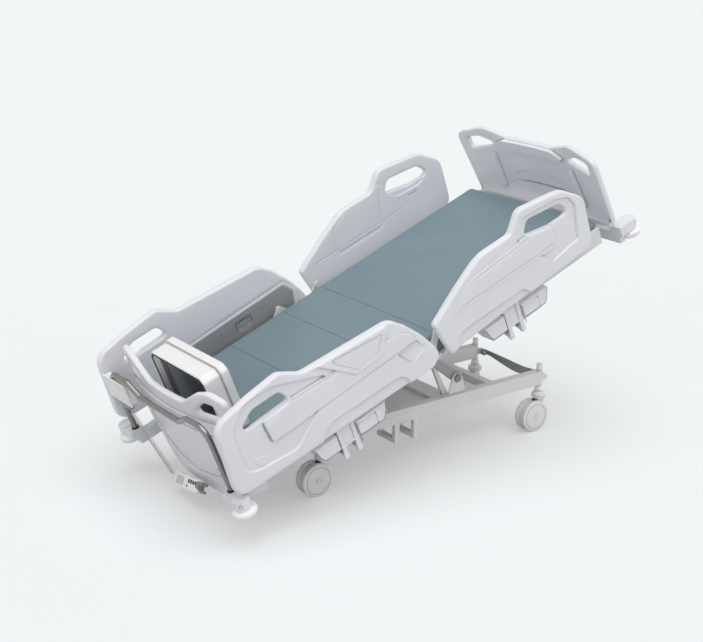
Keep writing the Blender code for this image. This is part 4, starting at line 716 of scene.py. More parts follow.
class Graph:
    """Node tree of one material."""

    def __init__(self, tree: bpy.types.NodeTree) -> None:
        """Empties the tree."""
        self.tree = tree
        self.tree.nodes.clear()

    def node(self, kind: str, settings: dict[str, Any] | None = None,
             inputs: dict[Any, Any] | None = None) -> bpy.types.Node:
        """Node of a kind, with its settings set before its inputs.

        Args:
            kind: Node type.
            settings: Properties of the node.
            inputs: Numbers, colours, sockets or values of its sockets.

        Returns:
            The node.
        """
        made = self.tree.nodes.new(kind)
        for key, value in (settings or {}).items():
            setattr(made, key, value)
        for key, value in (inputs or {}).items():
            if isinstance(value, Value):
                value = value.socket
            if isinstance(value, bpy.types.NodeSocket):
                self.tree.links.new(value, made.inputs[key])
            else:
                made.inputs[key].default_value = value
        return made

    def place(self, stretch: Sequence[float] = (1, 1, 1), turn: Sequence[float] = (0, 0, 0)) -> Any:
        """Object coordinates, turned and stretched.

        Args:
            stretch: Scale along each axis.
            turn: Turn about each axis.

        Returns:
            Socket of the coordinates.
        """
        where = self.node("ShaderNodeTexCoord").outputs["Object"]
        inputs = {"Vector": where, "Scale": stretch, "Rotation": turn}
        return self.node("ShaderNodeMapping", None, inputs).outputs[0]

    def noise(self, scale: float, detail: float, stretch: Sequence[float] = (1, 1, 1),
              turn: Sequence[float] = (0, 0, 0)) -> Value:
        """Noise from 0 to 1 on Object coordinates.

        Args:
            scale: Waves a metre.
            detail: Finer layers.
            stretch: Scale along each axis.
            turn: Turn about each axis.

        Returns:
            The noise.
        """
        made = self.node("ShaderNodeTexNoise", None,
                         {"Vector": self.place(stretch, turn), "Scale": scale, "Detail": detail})
        return Value(self, made.outputs[0])

    def wave(self, scale: float, axis: str, turn: Sequence[float] = (0, 0, 0)) -> Value:
        """Sine bands from 0 to 1 across one axis of the Object coordinates.

        Args:
            scale: Closeness of the bands.
            axis: Axis that they cross.
            turn: Turn about each axis.

        Returns:
            The bands.
        """
        made = self.node("ShaderNodeTexWave", {"bands_direction": axis, "wave_profile": "SIN"},
                         {"Vector": self.place((1, 1, 1), turn), "Scale": scale})
        return Value(self, made.outputs["Fac"])

    def seen(self) -> Value:
        """1 for what the camera sees, straight or by way of gloss or glass."""
        rays = self.node("ShaderNodeLightPath").outputs
        kinds = ("Camera", "Glossy", "Transmission")
        straight, gloss, glass = (Value(self, rays[f"Is {kind} Ray"]) for kind in kinds)
        return straight.most(gloss).most(glass)

    def mix(self, share: Any, first: Any, second: Any) -> Any:
        """Colour between two colours."""
        made = self.node("ShaderNodeMix", {"data_type": "RGBA"}, {0: share, 6: first, 7: second})
        return made.outputs[2]

    def surface(self, inputs: dict[str, Any]) -> Any:
        """Principled shader with its inputs."""
        return self.node("ShaderNodeBsdfPrincipled", None, inputs).outputs[0]

    def blend(self, share: Any, first: Any, second: Any) -> Any:
        """Shader between two shaders."""
        return self.node("ShaderNodeMixShader", None, {0: share, 1: first, 2: second}).outputs[0]

    def close(self, kind: str, shader: Any) -> None:
        """Output node of a material or world, with its shader."""
        self.node("ShaderNodeOutput" + kind, None, {"Surface": shader})

    def bump(self, height: Any, depth: float, normal: Any = None) -> Any:
        """Normal bent by a height.

        Args:
            height: Height at a point.
            depth: Distance that a height of 1 stands for.
            normal: Normal to bend, if not the mesh's own.

        Returns:
            Socket of the normal.
        """
        inputs = {"Height": height, "Distance": depth, "Strength": 1.0}
        if normal is not None:
            inputs["Normal"] = normal
        return self.node("ShaderNodeBump", None, inputs).outputs[0]

    def soft_normal(self, radius: float) -> Any:
        """Normal rounded over edges of a radius."""
        return self.node("ShaderNodeBevel", {"samples": 6}, {"Radius": radius}).outputs[0]

    def hollows(self, reach: float) -> Value:
        """Share of painted shade at a point: 1 less how open the piece itself leaves the sky within a reach.

        Args:
            reach: Distance that counts.

        Returns:
            The share.
        """
        settings = {"samples": 8, "only_local": True}
        node = self.node("ShaderNodeAmbientOcclusion", settings, {"Distance": reach})
        return (1.0 - Value(self, node.outputs["AO"])).ramp(0.06, 0.55)

    def edges(self, soft: Any) -> Value:
        """Share of an edge at a point: 1 less the dot product of the rounded and the plain normal.

        Args:
            soft: Rounded normal.

        Returns:
            The share.
        """
        plain = self.node("ShaderNodeNewGeometry").outputs["True Normal"]
        node = self.node("ShaderNodeVectorMath", {"operation": "DOT_PRODUCT"}, {0: soft, 1: plain})
        return (1.0 - Value(self, node.outputs["Value"])).ramp(0.01, 0.25)


def tint(code: str, gain: float = 1.0) -> tuple[float, float, float, float]:
    """Linear colour of a six-digit code.

    Args:
        code: Colour code after a # sign.
        gain: Factor on each part.

    Returns:
        Red, green, blue and 1.
    """
    parts = [int(code[k:k + 2], 16) / 255 for k in (1, 3, 5)]
    linear = [p / 12.92 if p <= 0.04045 else ((p + 0.055) / 1.055) ** 2.4 for p in parts]
    return (*[min(1.0, gain * p) for p in linear], 1.0)


def fresh_material(label: str) -> tuple[bpy.types.Material, Graph]:
    """New material with its emptied node tree.

    Args:
        label: Name of the material.

    Returns:
        The material and its graph.
    """
    made = bpy.data.materials.new(label)
    made.use_nodes = True
    return made, Graph(made.node_tree)


@dataclass(frozen=True)
class Finish:
    """Moulded or painted surface: colour that varies a little, fine grain, painted shade in hollows, lighter
    edges.
    """

    name: str
    slot: str
    colour: str
    shade: str
    roughness: float = 0.4
    coat: float = 0.0
    grain: float = 900.0
    grain_depth: float = 0.00002
    patch: float = 3.0
    soften: float = 0.0
    # Painted shade in the piece's own hollows: its strength, the reach of the occlusion, and the darkness of
    # the shade colour.
    crease: float = 0.0
    crease_reach: float = 0.014
    crease_dark: float = 0.3
    # Lighter edges: share of the lightening, and the gain on the colour there.
    rub: float = 0.35
    rub_light: float = 1.15
    specular: float = 0.35
    coat_roughness: float = 0.2
    roughness_span: float = 0.06

    def material(self) -> bpy.types.Material:
        """The material, made on first use."""
        label = "finish_" + self.name
        known = bpy.data.materials.get(label)
        if known is not None:
            return known
        made, graph = fresh_material(label)
        graph.close("Material", self.dress(graph))
        return made

    def dress(self, graph: Graph) -> Any:
        """Shader: patches of two shades, painted shade in hollows, grain as bump, lighter edges on hard-edged
        solids.

        Args:
            graph: Node tree that gets the nodes.

        Returns:
            Output socket of the shader.
        """
        patches = graph.noise(self.patch, 3.0).ramp(0.3, 0.7)
        colour = graph.mix(patches, tint(self.shade), tint(self.colour))
        # Painted shade: the colour goes darker where the piece's own hollows hide the sky (ambient
        # occlusion).
        if self.crease > 0:
            hollows = graph.hollows(self.crease_reach) * self.crease
            colour = graph.mix(hollows, colour, tint(self.shade, self.crease_dark))
        rough = patches * self.roughness_span + (self.roughness - self.roughness_span / 2)
        soft = None
        if self.soften > 0:
            soft = graph.soft_normal(self.soften)
            # Colour made lighter on the edges that the rounded normal finds.
            colour = graph.mix(graph.edges(soft) * self.rub, colour, tint(self.colour, self.rub_light))
        normal = graph.bump(graph.noise(self.grain, 1.0), self.grain_depth, soft)
        return graph.surface({
            "Base Color": colour, "Roughness": rough, "Coat Weight": self.coat,
            "Coat Roughness": self.coat_roughness, "Specular IOR Level": self.specular, "Normal": normal})


@dataclass(frozen=True)
class BrushedSteel(Finish):
    """Bright steel with fine streaks."""

    stretch: tuple[float, float, float] = (40.0, 2.0, 40.0)

    def dress(self, graph: Graph) -> Any:
        """Shader of streaked bright metal: noise stretched along the bar changes roughness and bump.

        Args:
            graph: Node tree to fill.

        Returns:
            Socket of the shader.
        """
        streak = graph.noise(30.0, 3.0, self.stretch)
        colour = graph.mix(streak, tint(self.shade), tint(self.colour))
        return graph.surface({
            "Base Color": colour, "Metallic": 1.0, "Roughness": streak * 0.16 + (self.roughness - 0.08),
            "Normal": graph.bump(streak, self.grain_depth)})


@dataclass(frozen=True)
class CoverCloth(Finish):
    """Coated mattress cover: fine weave under the coat, long soft creases and faint rubbed patches."""

    weave: float = 420.0
    weave_depth: float = 0.00012
    wrinkle: float = 9.0
    wrinkle_depth: float = 0.0025
    worn_patch: float = 2.2
    sheen: float = 0.15
    sheen_roughness: float = 0.4

    def dress(self, graph: Graph) -> Any:
        """Shader of coated cloth: two crossed sets of fine bands, noise creases, and two close shades.

        Args:
            graph: Node tree to fill.

        Returns:
            Socket of the shader.
        """
        turn = (0.0, TILT, 0.0)
        weave = graph.wave(self.weave, "X", turn) * graph.wave(self.weave, "Y", turn)
        wrinkles = graph.noise(self.wrinkle, 4.0, (1.0, 2.2, 1.0), turn)
        worn = graph.noise(self.worn_patch, 3.0).ramp(0.35, 0.7)
        colour = graph.mix(worn * 0.8 + weave * 0.2, tint(self.shade), tint(self.colour))
        normal = graph.bump(weave, self.weave_depth, graph.bump(wrinkles, self.wrinkle_depth))
        return graph.surface({
            "Base Color": colour, "Roughness": worn * 0.08 + self.roughness, "Normal": normal,
            "Sheen Weight": self.sheen, "Sheen Roughness": self.sheen_roughness})


@dataclass(frozen=True)
class Palette:
    """All finishes of the bed."""

    shell: Finish = Finish("shell_plastic", "shell_plastic", "#E6E6EB", "#E1E1E7", 0.36, coat=0.12,
                           soften=0.003, crease=0.6)
    mould: Finish = Finish("moulded_plastic", "shell_plastic", "#E6E6EB", "#E2E2E8", 0.36, coat=0.12,
                           crease=0.7)
    steel: Finish = Finish("painted_steel", "painted_steel", "#E4E3E2", "#DDDCDB", 0.42, grain=260,
                           grain_depth=0.0001, soften=0.002, crease=0.5)
    cover: Finish = Finish("cover_plate", "cover_plate", "#F3F2F1", "#ECEBEA", 0.5, grain=300,
                           grain_depth=0.0001, soften=0.0015)
    arm: Finish = Finish("arm_steel", "dark_steel", "#AEAEAF", "#A5A5A6", 0.42, grain=260,
                         grain_depth=0.0001, soften=0.002, crease=0.5)
    dark: Finish = Finish("dark_steel", "dark_steel", "#8D8D8F", "#828284", 0.45, grain=300,
                          grain_depth=0.0001, soften=0.0015)
    wheel: Finish = Finish("wheel_plastic", "wheel_plastic", "#E9E9E9", "#E3E3E3", 0.48, grain=500,
                           crease=0.6)
    rubber: Finish = Finish("black_rubber", "black_rubber", "#242527", "#1C1D1F", 0.6, grain=700,
                            grain_depth=0.00008)
    warm: Finish = Finish("warm_plastic", "warm_plastic", "#F0F0EF", "#EBEBEA", 0.38, coat=0.1, crease=0.5)
    bumper: Finish = Finish("bumper_plastic", "bumper_plastic", "#F7F7F6", "#F2F2F1", 0.3, coat=0.3,
                            patch=14.0)
    cord: Finish = Finish("cord_plastic", "cord_plastic", "#D2D1CF", "#C2C1BF", 0.42, patch=40.0)
    bright: Finish = BrushedSteel("stainless_steel", "stainless_steel", "#93918E", "#777572", 0.24)
    cloth: Finish = CoverCloth("mattress_cover", "mattress_cover", "#7C9098", "#728790", 0.5)
    insert: Finish = Finish("insert_panel", "dark_steel", "#9B9C9E", "#929395", 0.5, grain=420,
                            grain_depth=0.00005, crease=0.7)
    # Dark colour of the painted shade sheets and lines in gaps and at edges, and the real dark colour of the
    # handset keys.
    gap: Finish = Finish("shadow_gap", "black_rubber", "#3A3B3E", "#323336", 0.6, grain=500)
    glass: Finish = Finish("dark_glass", "black_rubber", "#2B3034", "#1A1D20", 0.1, coat=0.6, patch=6.0,
                           grain_depth=0.0)


INK = Palette()


@dataclass
class Studio:
    """Camera, floor and light of the photograph's view."""

    place: tuple[float, float, float] = (-3.6275, -4.821, 2.583)
    heading: float = math.radians(54.15)
    pitch: float = math.radians(18.04)
    lens: float = 73.2
    sensor: float = 36.0
    reach: float = 60.0
    first_ring: float = 0.3
    ring_count: int = 24
    spokes: int = 96
    veil: float = 0.32
    sky: float = 0.28
    rim: float = 1.2
    front: float = 1.7
    front_span: tuple[float, float] = (-0.3, 0.9)
    rim_height: float = 0.6
    suns: tuple[tuple[str, float, float, tuple[float, float, float]], ...] = (
        ("studio_sun", 1.85, 68.0, (0.05, 0.25, -1.0)), ("studio_fill", 0.28, 60.0, (1.0, 0.25, -0.35)))

    def camera(self) -> None:
        """Camera at the photograph's place, without roll."""
        data = bpy.data.cameras.new("photo_camera")
        data.lens = self.lens
        data.sensor_width = self.sensor
        made = linked("photo_camera", data)
        flat = math.cos(self.pitch)
        ahead = (math.cos(self.heading) * flat, math.sin(self.heading) * flat, -math.sin(self.pitch))
        made.location = self.place
        made.rotation_euler = aimed(ahead)
        bpy.context.scene.camera = made

    def paint(self) -> bpy.types.Material:
        """Floor paint: matt and pale, with a share of a plain colour in what the camera sees of it.

        Returns:
            The material.
        """
        made, graph = fresh_material("floor_paint")
        seen = graph.seen()
        patches = graph.noise(0.8, 2.0)
        pale = graph.mix(patches, tint(Ground.FLOOR.value, 0.98), tint(Ground.FLOOR.value))
        colour = graph.mix(seen, tint(Ground.BOUNCE.value), pale)
        matt = graph.surface({"Base Color": colour, "Roughness": 0.95, "Specular IOR Level": 0.1})
        plain = graph.node("ShaderNodeEmission", None, {"Color": tint(Ground.VEIL.value), "Strength": 1.0})
        graph.close("Material", graph.blend(seen * self.veil, matt, plain.outputs[0]))
        return made

    def floor(self) -> None:
        """Round pale floor: rings of points at growing radii, with one face in the middle."""
        angle = np.linspace(0, 2 * math.pi, self.spokes, endpoint=False)
        radius = np.geomspace(self.first_ring, self.reach, self.ring_count)[:, None]
        rows = np.stack([radius * np.cos(angle), radius * np.sin(angle), 0 * radius * angle], -1)
        shape = skin(rows, capped=False)
        faces = shape.quads[:, ::-1].tolist() + [list(range(self.spokes))]
        mesh = bpy.data.meshes.new("studio_floor")
        mesh.from_pydata(shape.points.tolist(), [], faces)
        mesh.materials.append(self.paint())
        made = linked("studio_floor", mesh)

    def light(self) -> None:
        """Sky brightest at its near rim, a soft sun from above, a weak one from the foot, a plain back."""
        world = bpy.data.worlds.new("studio_sky")
        bpy.context.scene.world = world
        world.use_nodes = True
        graph = Graph(world.node_tree)
        where = graph.node("ShaderNodeTexCoord").outputs["Generated"]
        parts = graph.node("ShaderNodeSeparateXYZ", None, {0: where})
        front = (0.0 - Value(graph, parts.outputs["Y"])).ramp(*self.front_span)
        rim = graph.mix(front, (self.rim,) * 3 + (1.0,), (self.front,) * 3 + (1.0,))
        height = Value(graph, parts.outputs["Z"]).ramp(0.0, self.rim_height)
        colour = graph.mix(height, rim, (self.sky,) * 3 + (1.0,))
        sky, plain = (graph.node("ShaderNodeBackground", None, {"Color": c, "Strength": 1.0}).outputs[0]
                      for c in (colour, tint(Ground.BEHIND.value)))
        graph.close("World", graph.blend(graph.seen(), sky, plain))
        for name, energy, spread, ahead in self.suns:
            data = bpy.data.lights.new(name, "SUN")
            data.energy = energy
            data.angle = math.radians(spread)
            linked(name, data).rotation_euler = aimed(ahead)


@dataclass
class Cord:
    """Curly cord from the control box to the handset: a straight helix whose radius fades out at its ends."""

    exit: tuple[float, float, float] = (-1.0705, 0.364, 0.14)
    centre: tuple[float, float, float] = (-1.083, 0.01, -0.115)
    handset_length: float = 0.24
    roll: float = math.radians(45.0)
    droop: float = math.radians(12.0)
    gland: float = 0.016
    curl: float = 0.0082
    radius: float = 0.0018
    turns: int = 38
    each: int = 16

    def frame(self) -> Matrix:
        """Turn and place of the handset in deck coordinates."""
        turn = Matrix.Rotation(-self.droop, 4, "X") @ Matrix.Rotation(-self.roll, 4, "Y")
        return Matrix.Translation(Vector(self.centre)) @ turn

    def ends(self) -> tuple[Vector, Vector, Vector]:
        """Start and end of the cord and its direction, in deck coordinates."""
        out = Vector(self.exit)
        entry = self.frame() @ Vector((0, self.handset_length / 2, 0))
        along = (entry - out).normalized()
        return out + along * self.gland, entry - along * self.gland, along

    def build(self) -> None:
        """Tube on the helix start + lead + along t + curl (first cos + second sin), eased over one turn."""
        start, end, along = self.ends()
        first = along.orthogonal().normalized()
        second = along.cross(first)
        lead = along * (2 * self.radius)
        low, high = np.array(start + lead), np.array(end - lead)
        share = np.linspace(0, 1, self.turns * self.each + 1)
        swell = np.minimum(1, np.minimum(share, 1 - share) * self.turns)[:, None]
        angle = share[:, None] * self.turns * 2 * math.pi
        side = np.cos(angle) * np.array(first) + np.sin(angle) * np.array(second)
        path = low + share[:, None] * (high - low) + self.curl * swell * side
        path = np.concatenate([np.array(start)[None], path, np.array(end)[None]])
        side = np.concatenate([side[:1], side, side[-1:]])
        world = deck(*path.T)
        cable = tube(world, way(*side.T), self.radius, Ring.CABLE)
        made = cable.make("curly_cord", INK.cord, "foot_end", ["handset_cord"])


@dataclass
class Sited:
    """A sub-assembly that stands at one end and side of the bed."""

    end: End
    side: Side

    @property
    def mark(self) -> str:
        """End and side in the names of pieces and bodies."""
        return f"{self.end.value}_{self.side.word}"

    @property
    def sign(self) -> int:
        """Sign of the side."""
        return self.side.value


@dataclass(frozen=True)
class RailForm:
    """Outline, hand hole and reliefs of a side rail, the reliefs in the order in which they are laid."""

    outline: Corners
    hole: Corners
    outer: tuple[Relief, ...]
    inner: tuple[Relief, ...]


FOOT_RAIL = RailForm(
    outline=((-1.100, 0.030, 0.060), (-1.078, 0.366, 0.075), (-0.900, 0.398, 0.300), (-0.748, 0.413, 0.050),
             (-0.655, 0.354, 0.060), (-0.212, 0.324, 0.070), (-0.150, 0.262, 0.150), (-0.090, 0.180, 0.200),
             (-0.046, 0.098, 0.150), (-0.029, 0.042, 0.035), (-0.080, 0.004, 0.045)),
    hole=((-1.000, 0.270, 0.020), (-0.905, 0.334, 0.050), (-0.772, 0.335, 0.030), (-0.741, 0.280, 0.012)),
    outer=(
        Relief(((-1.019, 0.101, 0.05), (-1.017, 0.300, 0.06), (-0.930, 0.383, 0.07), (-0.800, 0.380, 0.04),
                (-0.700, 0.340, 0.05), (-0.560, 0.283, 0.02), (-0.600, 0.200, 0.05), (-0.786, 0.069, 0.08)),
               -0.009, 0.007),
        Relief(((-0.700, -0.03, 0.0), (-0.652, 0.054, 0.02), (-0.606, 0.078, 0.03), (-0.297, 0.070, 0.03),
                (-0.244, 0.064, 0.02), (-0.219, 0.040, 0.02), (-0.195, -0.03, 0.0)), -0.013, 0.010),
        Relief(((-0.883, 0.264, 0.006), (-0.873, 0.165, 0.010), (-0.125, 0.178, 0.006), (-0.135, 0.222, 0.02),
                (-0.181, 0.258, 0.03), (-0.251, 0.264, 0.02), (-0.552, 0.278, 0.02), (-0.747, 0.285, 0.006)),
               0.004, 0.002),
        Relief(((-0.883, 0.258, 0.006), (-0.873, 0.163, 0.010), (-0.128, 0.176, 0.006), (-0.139, 0.218, 0.02),
                (-0.183, 0.251, 0.03), (-0.251, 0.257, 0.02), (-0.552, 0.266, 0.02), (-0.747, 0.276, 0.006)),
               -0.0018, 0.005, line=True),
        Relief(((-0.898, 0.282, 0.003), (-0.883, 0.290, 0.004), (-0.756, 0.302, 0.004),
                (-0.747, 0.285, 0.003)), 0.001, 0.003),
        Relief(((-0.639, 0.350, 0.012), (-0.585, 0.337, 0.02), (-0.438, 0.207, 0.02), (-0.297, 0.208, 0.02),
                (-0.233, 0.318, 0.012)), 0.0085, 0.004),
        Relief(((-0.525, 0.328, 0.008), (-0.266, 0.300, 0.008), (-0.308, 0.229, 0.012),
                (-0.420, 0.214, 0.012), (-0.512, 0.299, 0.010)), 0.0050, 0.002),
        Relief(((-0.522, 0.325, 0.008), (-0.271, 0.298, 0.008), (-0.310, 0.232, 0.012),
                (-0.419, 0.217, 0.012), (-0.509, 0.299, 0.010)), -0.0016, 0.004, line=True),
        Relief(((-0.229, 0.164, 0.004), (-0.123, 0.173, 0.010), (-0.095, 0.118, 0.012),
                (-0.175, 0.087, 0.010)), -0.012, 0.004, (0.14, -0.09)),
        Relief(((-0.972, 0.141, 0.004), (-0.971, 0.114, 0.012), (-0.946, 0.092, 0.015),
                (-0.917, 0.106, 0.012), (-0.911, 0.126, 0.004)), -0.0065, 0.0025)),
    inner=(
        Relief(((-0.800, 0.050, 0.015), (-0.800, 0.158, 0.015), (-0.130, 0.176, 0.015),
                (-0.090, 0.120, 0.015), (-0.100, 0.050, 0.015)), -0.006, 0.004),
        Relief(((-0.820, 0.030, 0.015), (-0.820, 0.172, 0.020), (-0.120, 0.190, 0.020),
                (-0.070, 0.120, 0.020), (-0.080, 0.030, 0.015)), -0.0022, 0.006, line=True)))

HEAD_RAIL = RailForm(
    outline=((0.020, 0.004, 0.015), (-0.022, 0.176, 0.020), (0.140, 0.266, 0.300), (0.290, 0.338, 0.200),
             (0.470, 0.336, 0.040), (0.545, 0.418, 0.050), (0.790, 0.382, 0.120), (0.902, 0.285, 0.070),
             (0.893, 0.045, 0.055)),
    hole=((0.545, 0.290, 0.012), (0.578, 0.345, 0.030), (0.765, 0.322, 0.050), (0.812, 0.262, 0.015),
          (0.690, 0.262, 0.030)),
    outer=(
        Relief(((0.655, 0.100, 0.01), (0.560, 0.200, 0.03), (0.490, 0.290, 0.02), (0.545, 0.374, 0.03),
                (0.745, 0.358, 0.05), (0.818, 0.328, 0.04), (0.843, 0.280, 0.03), (0.820, 0.122, 0.012)),
               -0.010, 0.006),
        Relief(((0.047, -0.03, 0.0), (0.092, 0.069, 0.02), (0.112, 0.073, 0.03), (0.460, 0.070, 0.02),
                (0.560, -0.03, 0.0)), -0.013, 0.010),
        Relief(((0.085, 0.168, 0.008), (0.148, 0.230, 0.05), (0.229, 0.265, 0.06), (0.473, 0.277, 0.02),
                (0.531, 0.288, 0.01), (0.670, 0.284, 0.012), (0.691, 0.265, 0.015), (0.699, 0.195, 0.02),
                (0.688, 0.162, 0.008)), 0.003, 0.002),
        Relief(((0.096, 0.176, 0.008), (0.150, 0.222, 0.05), (0.231, 0.255, 0.06), (0.473, 0.267, 0.02),
                (0.668, 0.272, 0.012), (0.683, 0.260, 0.015), (0.690, 0.197, 0.02), (0.680, 0.170, 0.008)),
               -0.0014, 0.004, line=True)),
    inner=(
        Relief(((0.200, 0.150, 0.020), (0.215, 0.285, 0.060), (0.330, 0.340, 0.080), (0.470, 0.362, 0.060),
                (0.530, 0.352, 0.010), (0.515, 0.315, 0.010), (0.470, 0.150, 0.020)), -0.002, 0.006,
               line=True),
        Relief(((0.545, 0.300, 0.006), (0.775, 0.300, 0.006), (0.772, 0.246, 0.010), (0.735, 0.236, 0.010),
                (0.604, 0.244, 0.006), (0.560, 0.270, 0.006)), -0.006, 0.004),
        Relief(((0.662, 0.221, 0.0015), (0.718, 0.221, 0.0015), (0.718, 0.215, 0.0015),
                (0.662, 0.215, 0.0015)), -0.004, 0.002),
        Relief(((0.060, 0.172, 0.006), (0.060, 0.190, 0.006), (0.655, 0.188, 0.006), (0.665, 0.172, 0.006)),
               0.0, 0.005),
        Relief(((0.060, 0.176, 0.004), (0.655, 0.176, 0.004), (0.655, 0.171, 0.002), (0.060, 0.171, 0.002)),
               -0.003, 0.003)))


@dataclass
class SideRail(Sited):
    """One moulded side rail, and on a foot rail the plate let into its inner face with bolts and a latch."""

    middle: float = 0.49
    half: float = 0.0195
    rim: float = 0.011
    recess: float = 0.0042
    insert_outline: Corners = ((-0.794, 0.056, 0.012), (-0.794, 0.152, 0.012), (-0.133, 0.170, 0.012),
                               (-0.096, 0.120, 0.012), (-0.106, 0.056, 0.012))
    insert_half: float = 0.0016
    insert_rim: float = 0.0012
    slot: Relief = Relief(box_corners(-0.415, 0.098, -0.345, 0.129, 0.004), -0.0012, 0.002)
    tongue: Relief = Relief(box_corners(-0.405, 0.104, -0.365, 0.123, 0.002), 0.0004, 0.002)
    bolt: Profile = ((0, 0.0028), (0.0035, 0.0028), (0.0055, 0.002), (0.006, 0.0006), (0.006, -0.001),
                     (0, -0.001))
    bolt_places: tuple[float, ...] = (-0.5064, -0.27, -0.70)
    bolt_height: float = 0.128
    bolt_seat: float = 0.0014
    latch: Corners = ((-0.424, 0.090, 0.0), (-0.424, 0.135, 0.005), (-0.336, 0.137, 0.005),
                      (-0.336, 0.101, 0.0))
    latch_radius: float = 0.0013
    latch_step: float = 0.004

    def build(self) -> None:
        """Rail as a moulded plate, with the insert on a foot rail."""
        name = "side_rail_" + self.mark
        form = FOOT_RAIL if self.end is End.FOOT else HEAD_RAIL

        def place(a: Array, b: Array, h: Array) -> Array:
            """Rail face upright along the bed, outwards at the rail's side."""
            return deck(a, self.sign * (self.middle + h), b)

        plate = Plate(form.outline, self.half, self.rim, [form.hole], form.outer, form.inner)
        plate.shape(place).make(name + "_moulding", INK.mould, "rail_" + self.mark, [name])
        if self.end is End.FOOT:
            self.insert(name, "rail_" + self.mark)

    def insert(self, name: str, body: str) -> None:
        """Grey plate in the inner recess with a latch slot, a dark painted shade line round the latch, and
        round bolt heads.

        Args:
            name: Name of the rail.
            body: Body that it rides on.
        """
        deep = self.middle - self.half + self.recess

        def place(a: Array, b: Array, h: Array) -> Array:
            """Plate on the floor of the recess, its front towards the mattress."""
            return deck(a, self.sign * (deep - h), b)

        plate = Plate(self.insert_outline, self.insert_half, self.insert_rim, (), [self.slot, self.tongue],
                      spacing=0.03, rounds=4)
        plate.shape(place).make(name + "_insert", INK.insert, body)
        heads = [lathe(self.bolt, deck(u, self.sign * (deep - self.bolt_seat), self.bolt_height),
                       way(0, -self.sign, 0), Ring.BOLT) for u in self.bolt_places]
        Shape.joined(*heads).make(name + "_bolts", INK.dark, body)
        # Painted shade: a thin dark line round the latch, where its gap would fall into shade.
        frame = paced(rounded(self.latch), self.latch_step)
        path = deck(frame[:, 0], self.sign * (deep - self.insert_half), frame[:, 1])
        tube(path, way(0, 1, 0), self.latch_radius, Ring.LINE).make(name + "_latch", INK.gap, body)


@dataclass(frozen=True)
class BoardSizes:
    """Half width, place, bow, lean and heights of an end board."""

    half: float
    end: float
    bow: float
    lean: float
    away: float
    bottom: float
    dip: float
    peak: float
    tip: float
    peg: float


FOOT_BOARD = BoardSizes(half=0.42, end=-0.945, bow=0.055, lean=0.0, away=-1.0, bottom=-0.15, dip=0.322,
                        peak=0.412, tip=0.38, peg=-0.947)
HEAD_BOARD = BoardSizes(half=0.465, end=1.07, bow=0.05, lean=0.05, away=1.0, bottom=0.03, dip=0.372,
                        peak=0.415, tip=0.376, peg=1.10)


